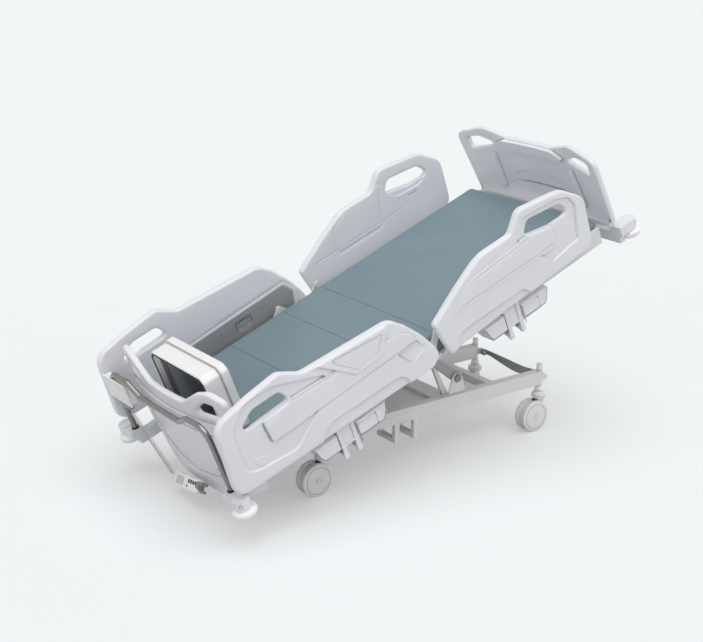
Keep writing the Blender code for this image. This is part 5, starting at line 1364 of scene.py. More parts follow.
@dataclass
class EndBoard:
    """Headboard or footboard, bowed away from the mattress in plan."""

    end: End
    thickness: float = 0.028
    rim: float = 0.007
    hole_rim: float = 0.054
    top_round: float = 0.004
    shelf_share: float = 0.94
    shelf_end: float = 1.066
    shelf_top: float = 0.125
    shelf_edge: float = 0.040
    shelf_low: float = 0.0192
    boss_v: float = 0.30
    boss_half: float = 0.025
    boss_height: float = 0.03
    boss_low: float = -0.0163
    boss_reach: float = 0.011
    peg_radius: float = 0.008
    peg_reach: float = 0.0763
    clearance: float = 0.0003

    @staticmethod
    def mirrored(half: Corners) -> Corners:
        """Outline from the corners of its right half, listed from the middle outwards."""
        return list(half) + [(-v, w, r) for v, w, r in reversed(half) if v > 0]

    def hand_hole(self, s: BoardSizes, low: float, drop: float) -> Corners:
        """Corners of the right hand hole: its rim follows the top of the board at an even distance.

        Args:
            s: Sizes of the board.
            low: Height of the inner low corner.
            drop: How far the outer low corner lies under it.

        Returns:
            Corners (v, w, radius).
        """
        return ((s.half * 0.47, low, 0.012), (s.half * 0.71, s.peak - self.hole_rim, 0.03),
                (s.half * 0.87, s.tip - self.hole_rim / 2, 0.02), (s.half * 0.875, low - drop, 0.015))

    def foot_parts(self, s: BoardSizes) -> tuple[Corners, Corners, list[Relief], list[Relief]]:
        """Half outline, hand hole and reliefs of the outer and inner face of the footboard.

        Args:
            s: Sizes of the board.

        Returns:
            Outline, hole, outer reliefs and inner reliefs.
        """
        h, dip = s.half, s.dip
        half = ((0.0, s.bottom, 0.0), (h * 0.50, s.bottom, 0.10), (h * 0.73, -0.045, 0.05),
                (h * 0.78, -0.010, 0.015), (h, 0.005, 0.04), (h, s.tip, 0.04), (h * 0.80, s.peak, 0.05),
                (h * 0.62, s.peak - 0.02, 0.05), (h * 0.33, dip, 0.06), (0.0, dip, 0.0))
        arc = self.mirrored(((0.0, -0.085, 0.0), (h * 0.45, -0.06, 0.20), (h * 0.84, 0.06, 0.10),
                             (h * 0.74, dip - 0.13, 0.03), (0.0, dip - 0.13, 0.0)))
        low = self.mirrored(((0.0, -0.050, 0.0), (h * 0.42, -0.028, 0.20), (h * 0.76, 0.075, 0.10),
                             (h * 0.68, dip - 0.145, 0.03), (0.0, dip - 0.145, 0.0)))
        ledge = self.mirrored(((0.0, dip - 0.095, 0.0), (h * 0.80, dip - 0.095, 0.01),
                               (h * 0.82, dip - 0.062, 0.01), (0.0, dip - 0.062, 0.0)))
        skirt = self.mirrored(((0.0, -0.116, 0.0), (h * 0.48, -0.092, 0.20), (h * 0.91, 0.045, 0.10),
                               (h * 0.88, dip - 0.08, 0.03), (0.0, dip - 0.08, 0.0)))
        front = [Relief(skirt, -0.0025, 0.006, line=True), Relief(arc, -0.011, 0.003),
                 Relief(low, -0.004, 0.003), Relief(low, -0.0028, 0.006, line=True),
                 Relief(ledge, 0.012, 0.003)]
        return half, self.hand_hole(s, dip - 0.035, 0.0), front, [Relief(low, -0.004, 0.02)]

    def head_parts(self, s: BoardSizes) -> tuple[Corners, Corners, list[Relief], list[Relief]]:
        """Half outline, hand hole and reliefs of the outer and inner face of the headboard.

        Args:
            s: Sizes of the board.

        Returns:
            Outline, hole, outer reliefs and inner reliefs.
        """
        h, dip = s.half, s.dip
        half = ((0.0, s.bottom, 0.0), (h * 0.97, s.bottom, 0.03), (h, s.tip, 0.05), (h * 0.62, s.peak, 0.08),
                (h * 0.31, dip, 0.06), (0.0, dip, 0.0))
        lip = self.mirrored(((0.0, dip - 0.058, 0.0), (h * 0.42, dip - 0.058, 0.01),
                             (h * 0.50, dip - 0.038, 0.006), (h * 0.36, dip - 0.008, 0.01),
                             (0.0, dip - 0.008, 0.0)))
        turn = np.linspace(0, 2 * math.pi, 20, endpoint=False)
        dish = [(h * 0.42 * math.cos(a), 0.135 + 0.07 * math.sin(a), 0.0) for a in turn]
        bowl = [(h * 0.30 * math.cos(a), 0.130 + 0.045 * math.sin(a), 0.0) for a in turn]
        panel = self.mirrored(((0.0, 0.07, 0.0), (h * 0.86, 0.07, 0.03), (h * 0.82, dip - 0.10, 0.03),
                               (0.0, dip - 0.09, 0.0)))
        ribs = [((k * (h * 0.59 - 0.012), 0.08, 0.004), (k * (h * 0.59 + 0.012), 0.08, 0.004),
                 (k * (h * 0.56 + 0.006), 0.275, 0.004), (k * (h * 0.56 - 0.006), 0.275, 0.004))
                for k in (-1, 1)]
        back = [Relief(panel, -0.002, 0.012), Relief(dish, -0.006, 0.008), Relief(bowl, -0.0085, 0.012)]
        back += [Relief(rib, 0.018, 0.004) for rib in ribs] + [Relief(lip, 0.020, 0.003)]
        return half, self.hand_hole(s, dip - 0.047, 0.038), [Relief(panel, -0.003, 0.012)], back

    def build(self) -> None:
        """Plate bent to u = end + away bow (1 - (v / half) squared), leaning in to its top, with bosses."""
        foot = self.end is End.FOOT
        s = FOOT_BOARD if foot else HEAD_BOARD
        half, hole, front, back = self.foot_parts(s) if foot else self.head_parts(s)
        thick = self.thickness / 2

        def place(a: Array, b: Array, up: Array) -> Array:
            """Bowed and leaning board: its middle surface moved out by half the thickness.

            Args:
                a: Places across.
                b: Heights.
                up: Way out from the middle surface.

            Returns:
                Points in the world.
            """
            lean = s.lean * (np.asarray(b) - s.bottom) / (s.peak - self.top_round - s.bottom)
            bow = s.bow * (1 - (np.asarray(a) / s.half) ** 2)
            return deck(s.end + s.away * (bow + thick + up) - lean, a, b)

        name = "footboard" if foot else "headboard"
        holes = [hole, [(-v, w, r) for v, w, r in hole]]
        parts = [Plate(self.mirrored(half), thick, self.rim, holes, front, back).shape(place)]
        parts += [self.boss(k * self.boss_v, s) for k in (-1, 1)]
        parts += [] if foot else [self.shelf(s)]
        Shape.joined(*parts).make(name + "_moulding", INK.mould, f"{self.end.value}_end", [name])

    def shelf(self, s: BoardSizes) -> Shape:
        """Foot of the headboard that flares in over the beam: a quarter ellipse down to a straight edge.

        Args:
            s: Sizes of the board.

        Returns:
            The closed shape, carried across the bed in rows.
        """
        v = np.linspace(-self.shelf_share, self.shelf_share, 65)[:, None] * s.half
        face = s.end + s.bow * (1 - (v / s.half) ** 2) + self.top_round
        turn = np.linspace(0, math.pi / 2, 13)[None]
        top, edge, low = self.shelf_top, self.shelf_edge, self.shelf_low
        lean = s.lean * (top - s.bottom) / (s.peak - self.top_round - s.bottom)
        u = face - lean * (1 - np.sin(turn)) - (face - self.shelf_end) * (1 - np.cos(turn))
        w = np.broadcast_to(top - (top - edge) * np.sin(turn), u.shape)
        under = np.concatenate([face * 0 + self.shelf_end - 0.002, face * 0 + self.shelf_end, face], 1)
        drop = np.broadcast_to(np.array([edge - 0.006, low, low]), under.shape)
        return skin(deck(np.concatenate([u, under], 1), v, np.concatenate([w, drop], 1)))

    def boss(self, v: float, s: BoardSizes) -> Shape:
        """Boss behind the board over its peg, and the peg that stands in the beam.

        Args:
            v: Place across the bed.
            s: Sizes of the board.

        Returns:
            Both as one shape.
        """
        face = s.end + s.away * (s.bow * (1 - (v / s.half) ** 2) + self.thickness / 2)
        low = max(s.bottom, self.boss_low) + self.clearance
        near = s.peg - s.away * self.boss_reach
        corners = box_corners(min(face, near), v - self.boss_half, max(face, near), v + self.boss_half, 0.006)
        block = bar(corners, low, low + self.boss_height, 0.002, deck)
        tip = low + self.peg_reach
        profile = ((0, 0), (self.peg_radius - 0.001, 0), (self.peg_radius, 0.001), (self.peg_radius, tip),
                   (0, tip))
        peg = lathe(profile, deck(s.peg, v, low + self.boss_height / 2), way(0, 0, -1), Ring.BOLT)
        return Shape.joined(block, peg)


@dataclass
class Mattress:
    """Mattress in four lengths that meet in tight folds, with round long sides and a welt line round them."""

    edge: float = 0.022
    fold: float = 0.0012
    crown: float = 0.004
    step: float = 0.02
    spacing: float = 0.004
    long_wave: float = 0.0012
    short_wave: float = 0.0007
    sink: float = 0.0012
    draw: float = 0.006
    welt: float = 0.0016
    welt_half: float = 0.003

    def build(self) -> None:
        """Each length on its own body, with a round end only at the two ends of the bed."""
        folds = (self.fold, self.fold)
        for word, body, ends in (("back", "back", (self.fold, self.edge)), ("seat", "upper_frame", folds),
                                 ("thigh", "thigh", folds), ("calf", "calf", (self.edge, self.fold))):
            self.pad(word, body, ends)

    def pad(self, word: str, body: str, ends: tuple[float, float]) -> None:
        """Rounded rectangle carried along the bed, its top crowned by a parabola and waved by sines.

        Args:
            word: Name of the length.
            body: Body that it rides on.
            ends: Roundings of the foot-side and head-side ends.
        """
        low, high = deck_box(word + "_mattress")
        across, top = high[1], high[2] - self.crown
        middle, half = (low[2] + top) / 2, (top - low[2]) / 2
        loop = evened(rounded(box_corners(-across, low[2], across, top, self.edge)), self.spacing)
        turn = np.linspace(0, math.pi / 2, 7)
        inside = np.arange(low[0] + ends[0] + self.step, high[0] - ends[1] - self.step / 2, self.step)
        rings = [(low[0] + ends[0] * (1 - math.sin(t)), ends[0] * (1 - math.cos(t))) for t in turn[::-1]]
        rings += [(float(u), 0.0) for u in inside]
        rings += [(high[0] - ends[1] * (1 - math.sin(t)), ends[1] * (1 - math.cos(t))) for t in turn]

        def place(a: Array, b: Array, along: float) -> Array:
            """Pad on the deck; sides drawn in at half height with the welt line pressed in.

            Args:
                a: Places across.
                b: Heights.
                along: Place along the bed.

            Returns:
                Points in the world.
            """
            share = np.clip((b - middle) / half, -1, 1)
            upper = np.clip(share, 0, 1) ** 2
            wave = self.long_wave * np.sin(9 * along + 1.3) * np.sin(7 * a + 0.4)
            wave = wave + self.short_wave * np.sin(23 * along) * np.cos(17 * a)
            rise = self.crown * (1 - (a / across) ** 2) + wave * (1 - (a / across) ** 4) - self.sink
            line = np.exp(-((b - middle) / self.welt_half) ** 2)
            draw = self.draw * (1 - share ** 2) + self.welt * line
            return deck(along, a * (1 - draw * (np.abs(a) / across) ** 6), b + rise * upper)

        made = loft(loop, rings, place).make(word + "_pad", INK.cloth, body, [word + "_mattress"], sharp=50)


@dataclass
class FootSupport:
    """White box of two shells on the calf section, with a sunk dark face and two black foot pads."""

    front: float = -0.816
    half: float = 0.226
    low: float = 0.0976
    high: float = 0.4056
    chamfer: float = 0.024
    shell: Profile = ((-0.816, 0.010), (-0.8166, 0.006), (-0.819, 0.002), (-0.822, 0.0), (-0.850, 0.0),
                      (-0.8528, 0.0012), (-0.8536, 0.003), (-0.8536, 0.011), (-0.8616, 0.011),
                      (-0.8616, 0.008), (-0.8624, 0.0066), (-0.865, 0.0055), (-0.930, 0.0055),
                      (-0.934, 0.0065), (-0.9358, 0.009), (-0.936, 0.012), (-0.936, 0.0165),
                      (-0.934, 0.018), (-0.910, 0.026))
    glass: Profile = ((-0.9098, 0.0262), (-0.913, 0.0264), (-0.914, 0.028), (-0.914, 0.032))
    line: Profile = ((-0.9350, 0.0108), (-0.9378, 0.0112), (-0.9384, 0.0140), (-0.9378, 0.0175),
                     (-0.9345, 0.0180), (-0.9350, 0.0108))
    pad_offset: float = 0.105
    pad_half: float = 0.085
    pad_height: float = 0.24
    pad_thickness: float = 0.014
    pad_edge: float = 0.006
    backing: tuple[float, float] = (0.05, 0.17)
    clearance: float = 0.0003

    def rows(self, steps: Profile) -> Array:
        """Outline of the box at each (place along the bed, inset), drawn in towards its middle.

        Args:
            steps: Places and insets in order.

        Returns:
            Points in an array of (row, point, 3).
        """
        c = self.chamfer
        loop = evened(rounded(((-self.half, self.low, 0.02), (self.half, self.low, 0.02),
                               (self.half, self.high - c, 0.012), (self.half - c, self.high, 0.012),
                               (c - self.half, self.high, 0.012), (-self.half, self.high - c, 0.012))), 0.005)
        middle = np.array([0.0, (self.low + self.high) / 2])
        reach = np.array([self.half, (self.high - self.low) / 2])
        flat = [middle + (loop - middle) * (1 - inset / reach) for _, inset in steps]
        return np.stack([deck(u, drawn[:, 0], drawn[:, 1]) for (u, _), drawn in zip(steps, flat)])

    def build(self) -> None:
        """Shell from the pad side over the groove to the sunk face, the glass, a dark painted shade line at
        its edge, and the pads.
        """
        skin(self.rows(self.shell)).make("support_box", INK.warm, "calf", ["foot_support"])
        skin(self.rows(self.glass)).make("support_screen", INK.glass, "calf")
        # Painted shade: a thin dark ring where the groove at the box's edge falls into shade.
        ring = skin(self.rows(self.line), capped=False).welded().outward()
        ring.make("support_edge", INK.gap, "calf")
        self.pads()

    def pads(self) -> None:
        """Two round-topped pads with pillowed edges, joined by a thin backing."""
        seat, low = self.front + self.clearance, self.low + 0.02
        high = low + self.pad_height
        parts = []
        for v in (-self.pad_offset, self.pad_offset):
            corners = ((v - self.pad_half, low, 0.06), (v + self.pad_half, low, 0.06),
                       (v + self.pad_half, high, 0.07), (v - self.pad_half, high, 0.07))
            parts.append(bar(corners, seat, seat + self.pad_thickness, self.pad_edge, endwise))
        corners = box_corners(-self.pad_offset, low + self.backing[0], self.pad_offset, low + self.backing[1],
                              self.pad_edge)
        parts.append(bar(corners, seat, seat + self.pad_thickness / 3, self.pad_edge / 4, endwise))
        made = Shape.joined(*parts).make("foot_cushions", INK.rubber, "calf", ["foot_pads"])


@dataclass
class Controls:
    """Push bar, control box and handset at the foot end."""

    bar_u: float = -1.07
    bar_radius: float = 0.0125
    bar_corners: Corners = ((0.40, -0.0057, 0.0), (0.40, 0.318, 0.06), (0.248, 0.312, 0.03),
                            (0.16, 0.264, 0.03))
    ring: Profile = ((0.0118, 0.0), (0.0165, 0.0), (0.0175, 0.001), (0.0175, 0.004), (0.016, 0.0062),
                     (0.0128, 0.0075), (0.0118, 0.0075))
    ring_height: float = 0.0145
    body_span: tuple[float, float] = (-1.0815, -1.0525)
    key_span: tuple[float, float] = (-1.0893, -1.0866)
    pod_span: tuple[float, float] = (-1.0825, -1.0585)
    plate_u: float = -1.0840
    plate_half: float = 0.0045
    plate: tuple[float, ...] = (0.264, 0.18, 0.464, 0.295, 0.008)
    field_box: tuple[float, ...] = (0.272, 0.188, 0.456, 0.287, 0.006)
    body: tuple[float, ...] = (0.270, 0.186, 0.458, 0.289, 0.008)
    key_columns: tuple[float, ...] = (0.284, 0.328, 0.374, 0.418)
    key_rows: tuple[float, ...] = (0.203, 0.252)
    key_size: tuple[float, float] = (0.026, 0.018)
    pod: Corners = ((0.314, 0.14, 0.03), (0.414, 0.14, 0.03), (0.414, 0.186, 0.002), (0.314, 0.186, 0.002))
    gland: Profile = ((0, -0.004), (0.006, -0.004), (0.006, 0.004), (0.0036, 0.013), (0.0030, 0.017),
                      (0, 0.017))
    handset_width: float = 0.06
    handset_depth: float = 0.024
    handset_face: float = 0.0105
    handset_keys: tuple[int, float, float] = (4, -0.036, -0.021)
    handset_ribs: tuple[int, float, float] = (6, 0.022, 0.012)
    hook_root: Corners = ((-0.0216, -0.012, 0.004), (0.0216, -0.012, 0.004), (0.0216, 0.0216, 0.005),
                          (-0.006, 0.0216, 0.005))
    prongs: Profile = ((-0.0216, 0.006), (0.0096, 0.0216))
    prong_width: float = 0.012
    cord: Cord = field(default_factory=Cord)

    def build(self) -> None:
        """All pieces, on the body of the foot end."""
        self.push_bar()
        self.control_box()
        self.handset()

    def push_bar(self) -> None:
        """Bright tube on straight runs with round bends, and a rubber ring at the foot of each leg."""
        corners = list(self.bar_corners) + [(-v, w, r) for v, w, r in reversed(self.bar_corners)]
        flat = paced(rounded(corners, 0.08), 0.005)
        path = deck(self.bar_u, flat[:, 0], flat[:, 1])
        pipe = tube(path, way(1, 0, 0), self.bar_radius, Ring.PIPE)
        pipe.make("push_bar_tube", INK.bright, "foot_end", ["push_bar"])
        leg = self.bar_corners[0][0]
        rings = [lathe(self.ring, deck(self.bar_u, v, self.ring_height), way(0, 0, 1), Ring.COLLAR)
                 for v in (-leg, leg)]
        Shape.joined(*rings).make("push_bar_rings", INK.rubber, "foot_end")

    def control_box(self) -> None:
        """Front plate with a sunk field and blank keys, the body behind it, and the pod of the cord."""

        def front(a: Array, b: Array, h: Array) -> Array:
            """Plate that faces away from the bed."""
            return deck(self.plate_u - h, a, b)

        sunk = Relief(box_corners(*self.field_box), -0.001, 0.002)
        plate = Plate(box_corners(*self.plate), self.plate_half, 0.003, (), [sunk], spacing=0.02, fine=0.005,
                      rounds=5).shape(front)
        body = bar(box_corners(*self.body), *self.body_span, 0.004, endwise)
        Shape.joined(plate, body).make("control_plate", INK.warm, "foot_end", ["control_box"])
        wide, tall = self.key_size
        keys = [bar(box_corners(v, w, v + wide, w + tall, 0.004), *self.key_span, 0.001, endwise, 0.002)
                for v in self.key_columns for w in self.key_rows]
        Shape.joined(*keys).make("control_keys", INK.cover, "foot_end")
        pod = bar(self.pod, *self.pod_span, 0.006, endwise)
        along = np.array(self.cord.ends()[2])
        cone = lathe(self.gland, deck(*self.cord.exit), way(*along), Ring.BOLT)
        Shape.joined(pod, cone).make("control_pod", INK.insert, "foot_end")

    def handset(self) -> None:
        """Pillow-edged body with keys, ribs and a button on its face, a hook and a gland at its ends."""
        turn = np.array(self.cord.frame())
        half = self.cord.handset_length / 2

        def local(a: Any, b: Any, c: Any) -> Array:
            """World points of the handset's own width, length and height."""
            own = np.stack(np.broadcast_arrays(np.asarray(a, float), b, c), -1)
            return deck(*np.moveaxis(own @ turn[:3, :3].T + turn[:3, 3], -1, 0))

        def lengthwise(a: Array, b: Array, along: float) -> Array:
            """Outline of width and height, carried along the length."""
            return local(a, along, b)

        wide, deep, face = self.handset_width / 2, self.handset_depth / 2, self.handset_face
        body = bar(box_corners(-wide, -half, wide, half, 0.012), -deep, deep, 0.006, local)
        gland = bar(box_corners(-0.006, -0.006, 0.006, 0.006, 0.006), half - 0.003, half + 0.012, 0.002,
                    lengthwise, 0.002)
        Shape.joined(body, gland).make("handset_body", INK.warm, "foot_end", ["handset"])
        hook = [bar(box_corners(a, -deep, a + self.prong_width, b, 0.003), -half - 0.045, -half - 0.010,
                    0.003, lengthwise, 0.003) for a, b in self.prongs]
        hook.append(bar(self.hook_root, -half - 0.018, -half + 0.006, 0.003, lengthwise, 0.003))
        Shape.joined(*hook).make("handset_hook", INK.dark, "foot_end")
        count, first, pitch = self.handset_keys
        keys = [bar(box_corners(0.001, y, 0.017, y + 0.013, 0.003), face, 0.0140, 0.001, local, 0.002)
                for y in np.arange(count) * pitch + first]
        button = box_corners(-0.018, -0.024, -0.008, -0.014, 0.005)
        keys.append(bar(button, face, 0.0135, 0.001, local, 0.002))
        Shape.joined(*keys).make("handset_keys", INK.gap, "foot_end")
        count, first, pitch = self.handset_ribs
        ribs = [bar(box_corners(-0.019, y, 0.019, y + 0.004, 0.002), face, 0.0134, 0.0012, local, 0.002)
                for y in np.arange(count) * pitch + first]
        Shape.joined(*ribs).make("handset_ribs", INK.insert, "foot_end")


@dataclass
class Castor(Sited):
    """One twin-wheel castor: turned wheels, the web between them and the ringed swivel head."""

    foot_x: float = -0.4635
    head_x: float = 0.7765
    track: float = 0.23
    radius: float = 0.075
    trail: float = 0.042
    web_radius: float = 0.066
    web_half: float = 0.0130
    wheel: Profile = (
        (0.0, 0.0352), (0.0095, 0.0352), (0.0105, 0.0346), (0.0105, 0.0318), (0.0122, 0.0318),
        (0.0122, 0.0344), (0.030, 0.0350), (0.056, 0.0348), (0.0585, 0.0340), (0.0590, 0.0318),
        (0.0606, 0.0318), (0.0612, 0.0342), (0.0680, 0.0338), (0.0722, 0.0318), (0.0745, 0.0284),
        (0.0750, 0.0245), (0.0750, 0.0212), (0.0741, 0.0206), (0.0741, 0.0194), (0.0750, 0.0188),
        (0.0746, 0.0160), (0.0728, 0.0140), (0.0700, 0.0136), (0.0085, 0.0136))
    collar: Profile = (
        (0.0130, 0.1925), (0.0195, 0.1925), (0.0205, 0.1935), (0.0205, 0.1985), (0.0180, 0.2005),
        (0.0172, 0.2075), (0.0160, 0.2120), (0.0130, 0.2120))
    cap: Profile = ((0.0, 0.300), (0.0142, 0.300), (0.0142, 0.3170), (0.0135, 0.3205), (0.0110, 0.3230),
                    (0.0, 0.3240))
    head: Profile = (
        (0.0, 0.1552), (0.0200, 0.1552), (0.0245, 0.1556), (0.0300, 0.1570), (0.0330, 0.1590),
        (0.0338, 0.1610), (0.0338, 0.1665), (0.0322, 0.1672), (0.0322, 0.1686), (0.0338, 0.1693),
        (0.0338, 0.1745), (0.0330, 0.1765), (0.0300, 0.1785), (0.0250, 0.1810), (0.0215, 0.1830),
        (0.0205, 0.1850), (0.0205, 0.1880), (0.0195, 0.1888), (0.0, 0.1888))

    def build(self) -> None:
        """Wheels on their axle's body, housing on the swivel's, the stem's collar and cap on the base."""
        x = self.foot_x if self.end is End.FOOT else self.head_x
        y = self.sign * self.track
        profile = [(r, -h) for r, h in self.wheel] + list(reversed(self.wheel))
        wheels = lathe(profile, (x - self.trail, y, self.radius), (0, 1, 0), Ring.WHEEL)
        wheels.make("twin_wheels_" + self.mark, INK.wheel, "wheels_" + self.mark,
                    ["castor_wheels_" + self.mark])
        self.housing(x, y)
        stem = [lathe(turned, (x, y, 0), (0, 0, 1), Ring.COLLAR) for turned in (self.collar, self.cap)]
        Shape.joined(*stem).make("stem_trim_" + self.mark, INK.cover, "base")

    def housing(self, x: float, y: float) -> None:
        """Web with a round back between the wheels, and the turned head with two grooves.

        Args:
            x: Place of the stem along the bed.
            y: Place of the stem across it.
        """
        angle = np.radians(np.arange(62, 271, 8))
        axle = x - self.trail
        back = np.stack([axle + self.web_radius * np.cos(angle),
                         self.radius + self.web_radius * np.sin(angle)], -1)
        corners = [(a, b, 0.0) for a, b in back.tolist()]
        corners += [(axle + 0.033, 0.041, 0.02), (x + 0.021, 0.075, 0.03), (x + 0.024, 0.160, 0.002),
                    (x - 0.024, 0.160, 0.002)]

        def across(a: Array, b: Array, along: float) -> Array:
            """Outline upright along the bed, carried across it."""
            return np.stack(np.broadcast_arrays(a, along, b), -1)

        web = bar(corners, y - self.web_half, y + self.web_half, 0.0015, across)
        made = Shape.joined(web, lathe(self.head, (x, y, 0), (0, 0, 1), Ring.ROLLER))
        made.make("castor_body_" + self.mark, INK.wheel, "castor_" + self.mark,
                  ["castor_housing_" + self.mark])


@dataclass
class Corner(Sited):
    """Roller bumper under one corner of the upper frame, and the smooth cap over it."""

    foot_place: tuple[float, float] = (-1.078, 0.475)
    head_place: tuple[float, float] = (1.16, 0.447)
    roller: Profile = (
        (0.0, -0.0084), (0.0118, -0.0084), (0.0118, -0.0283), (0.0330, -0.0284), (0.0350, -0.0300),
        (0.0352, -0.0318), (0.0430, -0.0328), (0.0480, -0.0352), (0.0510, -0.0395), (0.0520, -0.0445),
        (0.0512, -0.0510), (0.0482, -0.0580), (0.0428, -0.0640), (0.0340, -0.0682), (0.0200, -0.0700),
        (0.0, -0.0703))
    cap: Profile = ((0.0, -0.0278), (0.0350, -0.0278), (0.0362, -0.0266), (0.0364, -0.0200), (0.0364, 0.0090),
                    (0.0352, 0.0140), (0.0318, 0.0172), (0.0270, 0.0184), (0.0, 0.0188))
    slot_facing: tuple[float, float] = (0.6, 0.8)
    slot_half: float = 0.16
    slot_heights: tuple[float, float] = (-0.012, 0.004)
    slot_radius: float = 0.0362
    slot_line: float = 0.0010

    def build(self) -> None:
        """Mushroom roller on its own body, and cap with a dark painted shade line for a small slot on the
        frame.
        """
        foot = self.end is End.FOOT
        u, v = self.foot_place if foot else self.head_place
        v *= self.sign
        roller = lathe(self.roller, deck(u, v, 0), way(0, 0, 1), Ring.ROLLER)
        roller.make("roller_" + self.mark, INK.bumper, "bumper_" + self.mark, ["bumper_" + self.mark])
        cap = lathe(self.cap, deck(u, v, 0), way(0, 0, 1), Ring.CAP)
        cap.make("corner_cap_" + self.mark, INK.mould, "upper_frame")
        ahead, aside = (-1.0 if foot else 1.0) * self.slot_facing[0], self.sign * self.slot_facing[1]
        low, high = self.slot_heights
        turn = math.atan2(aside, ahead) + np.array([-1, -1, 1, 1]) * self.slot_half
        path = paced(np.stack([turn, np.array([low, high, high, low])], -1), 0.004)
        points = deck(u + self.slot_radius * np.cos(path[:, 0]), v + self.slot_radius * np.sin(path[:, 0]),
                      path[:, 1])
        # Painted shade: a thin dark tube on the cap where a slot would fall into shade.
        slot = tube(points, way(ahead, aside, 0), self.slot_line, Ring.LINE)
        slot.make("cap_slot_" + self.mark, INK.gap, "upper_frame")


@dataclass
class RailMount(Sited):
    """Trim of one rail's housing: release flap, dark sheets and lines of painted shade in its gaps and along
    its edges, and the hooks of the link.
    """

    foot_u: float = -0.541
    head_u: float = 0.405
    front: float = 0.468
    flap_offset: float = 0.105
    flap_v: float = 0.4637
    flap_window: tuple[float, ...] = (0.0448, -0.0852, -0.0302, 0.010)
    field_window: tuple[float, ...] = (0.036, -0.078, -0.040, 0.008)
    # Windows and spans of the dark painted shade sheets behind the flap, in the slot and at the slot's edges.
    recess_window: tuple[float, ...] = (0.044, -0.084, -0.034, 0.004)
    recess_span: tuple[float, float] = (0.4502, 0.4512)
    slot_window: tuple[float, ...] = (0.049, -0.1155, -0.0215, 0.004)
    slot_span: tuple[float, float] = (0.3783, 0.3793)
    gap_window: tuple[float, ...] = (0.0013, -0.113, -0.0195, 0.001)
    gap_span: tuple[float, float] = (0.4672, 0.4688)
    flap_half: float = 0.0039
    flap_rim: float = 0.0022
    lining_edge: float = 0.0004
    gap_offset: float = 0.0518
    seam_stop: float = 0.0545
    seam_ends: tuple[tuple[int, float], ...] = ((-1, 0.165), (1, 0.21))
    seam_steps: Profile = ((0.0012, -0.0215), (0.0145, -0.0622), (0.0297, -0.0868))
    seam_radius: float = 0.0011
    hook: Corners = ((0.4645, -0.146, 0.003), (0.4645, -0.1205, 0.002), (0.408, -0.1205, 0.003),
                     (0.412, -0.126, 0.003))
    hook_offset: float = 0.0345
    hook_half: float = 0.0118

    @property
    def u(self) -> float:
        """Place of the link along the deck."""
        return self.foot_u if self.end is End.FOOT else self.head_u

    def outwards(self, a: Array, b: Array, h: Any) -> Array:
        """Outline along the bed and upright, carried out to the side."""
        return deck(a, self.sign * np.asarray(h), b)

    @staticmethod
    def window(middle: float, size: tuple[float, ...]) -> Corners:
        """Corners of a rectangle about a place along the bed: half width, low, high and corner radius."""
        half, low, high, radius = size
        return box_corners(middle - half, low, middle + half, high, radius)

    def build(self) -> None:
        """Flap on its own body, painted shade sheets and lines on the frame, hooks on the link."""
        self.flap(self.u + self.flap_offset)
        self.linings(self.u + self.flap_offset)

        def sideways(a: Array, b: Array, along: float) -> Array:
            """Outline across the bed and upright, carried along it."""
            return deck(along, self.sign * a, b)

        middles = [self.u + k * self.hook_offset for k in (-1, 1)]
        hooks = [bar(self.hook, middle - self.hook_half, middle + self.hook_half, 0.0015, sideways, 0.003)
                 for middle in middles]
        Shape.joined(*hooks).make("link_hooks_" + self.mark, INK.mould, "link_" + self.mark)

    def flap(self, at: float) -> None:
        """Release flap as a thin plate with a sunk field.

        Args:
            at: Middle of the flap along the deck.
        """

        def place(a: Array, b: Array, h: Array) -> Array:
            """Flap in its recess, its front outwards."""
            return deck(a, self.sign * (self.flap_v + h), b)

        sunk = Relief(self.window(at, self.field_window), -0.0010, 0.003)
        panel = Plate(self.window(at, self.flap_window), self.flap_half, self.flap_rim, (), [sunk],
                      spacing=0.012, fine=0.004, rounds=5).shape(place)
        panel.make("flap_panel_" + self.mark, INK.mould, "flap_" + self.mark, ["release_flap_" + self.mark])

    def linings(self, at: float) -> None:
        """Dark sheets of painted shade behind the flap and in the link's slot, painted shade lines at the
        slot's two edges and along the housing's edges.

        Args:
            at: Middle of the flap along the deck.
        """
        u, edge = self.u, self.lining_edge
        # Painted shade: dark sheets and strips put where the housing's gaps fall into shade.
        parts = [bar(self.window(at, self.recess_window), *self.recess_span, edge, self.outwards),
                 bar(self.window(u, self.slot_window), *self.slot_span, edge, self.outwards)]
        parts += [bar(self.window(u + k * self.gap_offset, self.gap_window), *self.gap_span, edge,
                      self.outwards, 0.002) for k in (-1, 1)]
        parts += [self.seam(u + k * end, u + k * self.seam_stop, k) for k, end in self.seam_ends]
        Shape.joined(*parts).make("housing_lining_" + self.mark, INK.gap, "upper_frame")

    def seam(self, end: float, stop: float, k: int) -> Shape:
        """Painted shade line along the end and the lower front edge of the housing: a thin dark tube on
        straight runs.

        Args:
            end: Place of the housing's end at its top.
            stop: Place of the link's gap, where the line stops.
            k: 1 at the head side of the housing, -1 at its foot side.

        Returns:
            The tube.
        """
        corners = [(end - k * inset, height) for inset, height in self.seam_steps]
        corners.append((stop, self.seam_steps[-1][1]))
        path = paced(np.array(corners), 0.003)
        across = self.sign * (self.front - 0.0003)
        return tube(deck(path[:, 0], across, path[:, 1]), way(0, 1, 0), self.seam_radius, Ring.LINE)


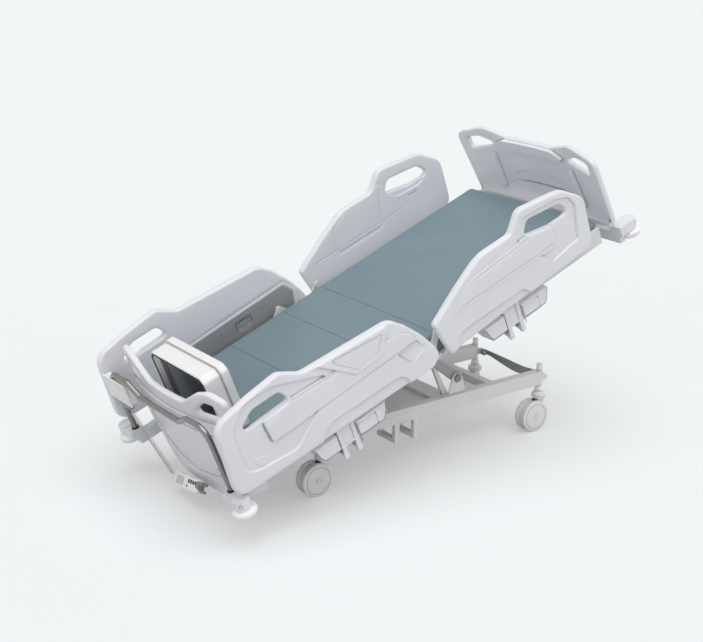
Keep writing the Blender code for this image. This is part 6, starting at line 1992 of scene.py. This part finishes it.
@dataclass
class BaseTrim:
    """Small fittings of the base on one side: pivot bolts, the skin of the tube's side and the tube's end."""

    side: Side
    bolt: Profile = (
        (0.0, -0.004), (0.0205, -0.004), (0.0212, -0.0034), (0.0212, -0.0024), (0.0204, -0.0018),
        (0.0158, -0.0016), (0.0158, 0.0042), (0.0145, 0.0058), (0.0105, 0.0068), (0.0070, 0.0070),
        (0.0062, 0.0052), (0.0, 0.0050))
    bolt_v: float = 0.2382
    bolt_places: Profile = ((0.2725, 0.361), (-0.1685, 0.361))
    skin_box: tuple[float, ...] = (-0.30, 0.228, 0.235, 0.266, 0.004)
    skin_span: tuple[float, float] = (0.2485, 0.2520)
    end_across: tuple[float, float] = (0.2095, 0.2505)
    end_heights: tuple[float, float] = (0.2245, 0.2895)
    end_span: tuple[float, float] = (-0.4985, -0.4880)

    def build(self) -> None:
        """Turned bolt heads with washers, and plates on the tube."""
        sign = self.side.value
        word = self.side.word
        heads = [lathe(self.bolt, (x, sign * self.bolt_v, z), (0, sign, 0), Ring.COLLAR)
                 for x, z in self.bolt_places]
        Shape.joined(*heads).make("pivot_bolts_" + word, INK.insert, "base")

        def outwards(a: Array, b: Array, h: Any) -> Array:
            """Outline along the bed and upright, carried out to the side."""
            return np.stack(np.broadcast_arrays(a, sign * np.asarray(h), b), -1)

        def lengthwise(a: Array, b: Array, along: float) -> Array:
            """Outline across the bed and upright, carried along it."""
            return np.stack(np.broadcast_arrays(along, a, b), -1)

        cover = bar(box_corners(*self.skin_box), *self.skin_span, 0.0012, outwards)
        cover.make("tube_skin_" + word, INK.steel, "base")
        near, far = sorted(sign * v for v in self.end_across)
        low, high = self.end_heights
        mouth = bar(box_corners(near, low, far, high, 0.006), *self.end_span, 0.003, lengthwise)
        mouth.make("tube_end_" + word, INK.dark, "base")


def carry_over(nodes: dict[str, bpy.types.Object]) -> None:
    """Gives every node that stays in view its finish.

    Args:
        nodes: Node objects of the frame.
    """
    kinds: tuple[tuple[str, Finish], ...] = (
        ("base_cover", INK.cover), ("base_", INK.steel), ("brake_bar", INK.dark), ("head_lift", INK.arm),
        ("foot_lift", INK.arm), ("head_shaft", INK.bright), ("foot_shaft", INK.bright),
        ("foot_beam", INK.shell), ("head_beam", INK.shell), ("rail_link", INK.shell),
        ("rail_housing", INK.shell))
    for name, node in nodes.items():
        finish = next((f for start, f in kinds if name.startswith(start)), INK.steel)
        node.data.materials.clear()
        node.data.materials.append(finish.material())


def main() -> None:
    """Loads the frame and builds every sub-assembly in order."""
    logging.basicConfig(level=logging.INFO, format="%(message)s")
    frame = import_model()
    bpy.context.scene.view_settings.view_transform = "Standard"
    studio = Studio()
    studio.camera()
    Cord().build()
    studio.floor()
    studio.light()
    carry_over(frame["nodes"])
    for end in End:
        for side in Side:
            for assembly in (SideRail, Castor, Corner, RailMount):
                assembly(end, side).build()
        EndBoard(end).build()
    for side in Side:
        BaseTrim(side).build()
    for assembly in (Mattress, FootSupport, Controls):
        assembly().build()


if __name__ == "__main__":
    main()
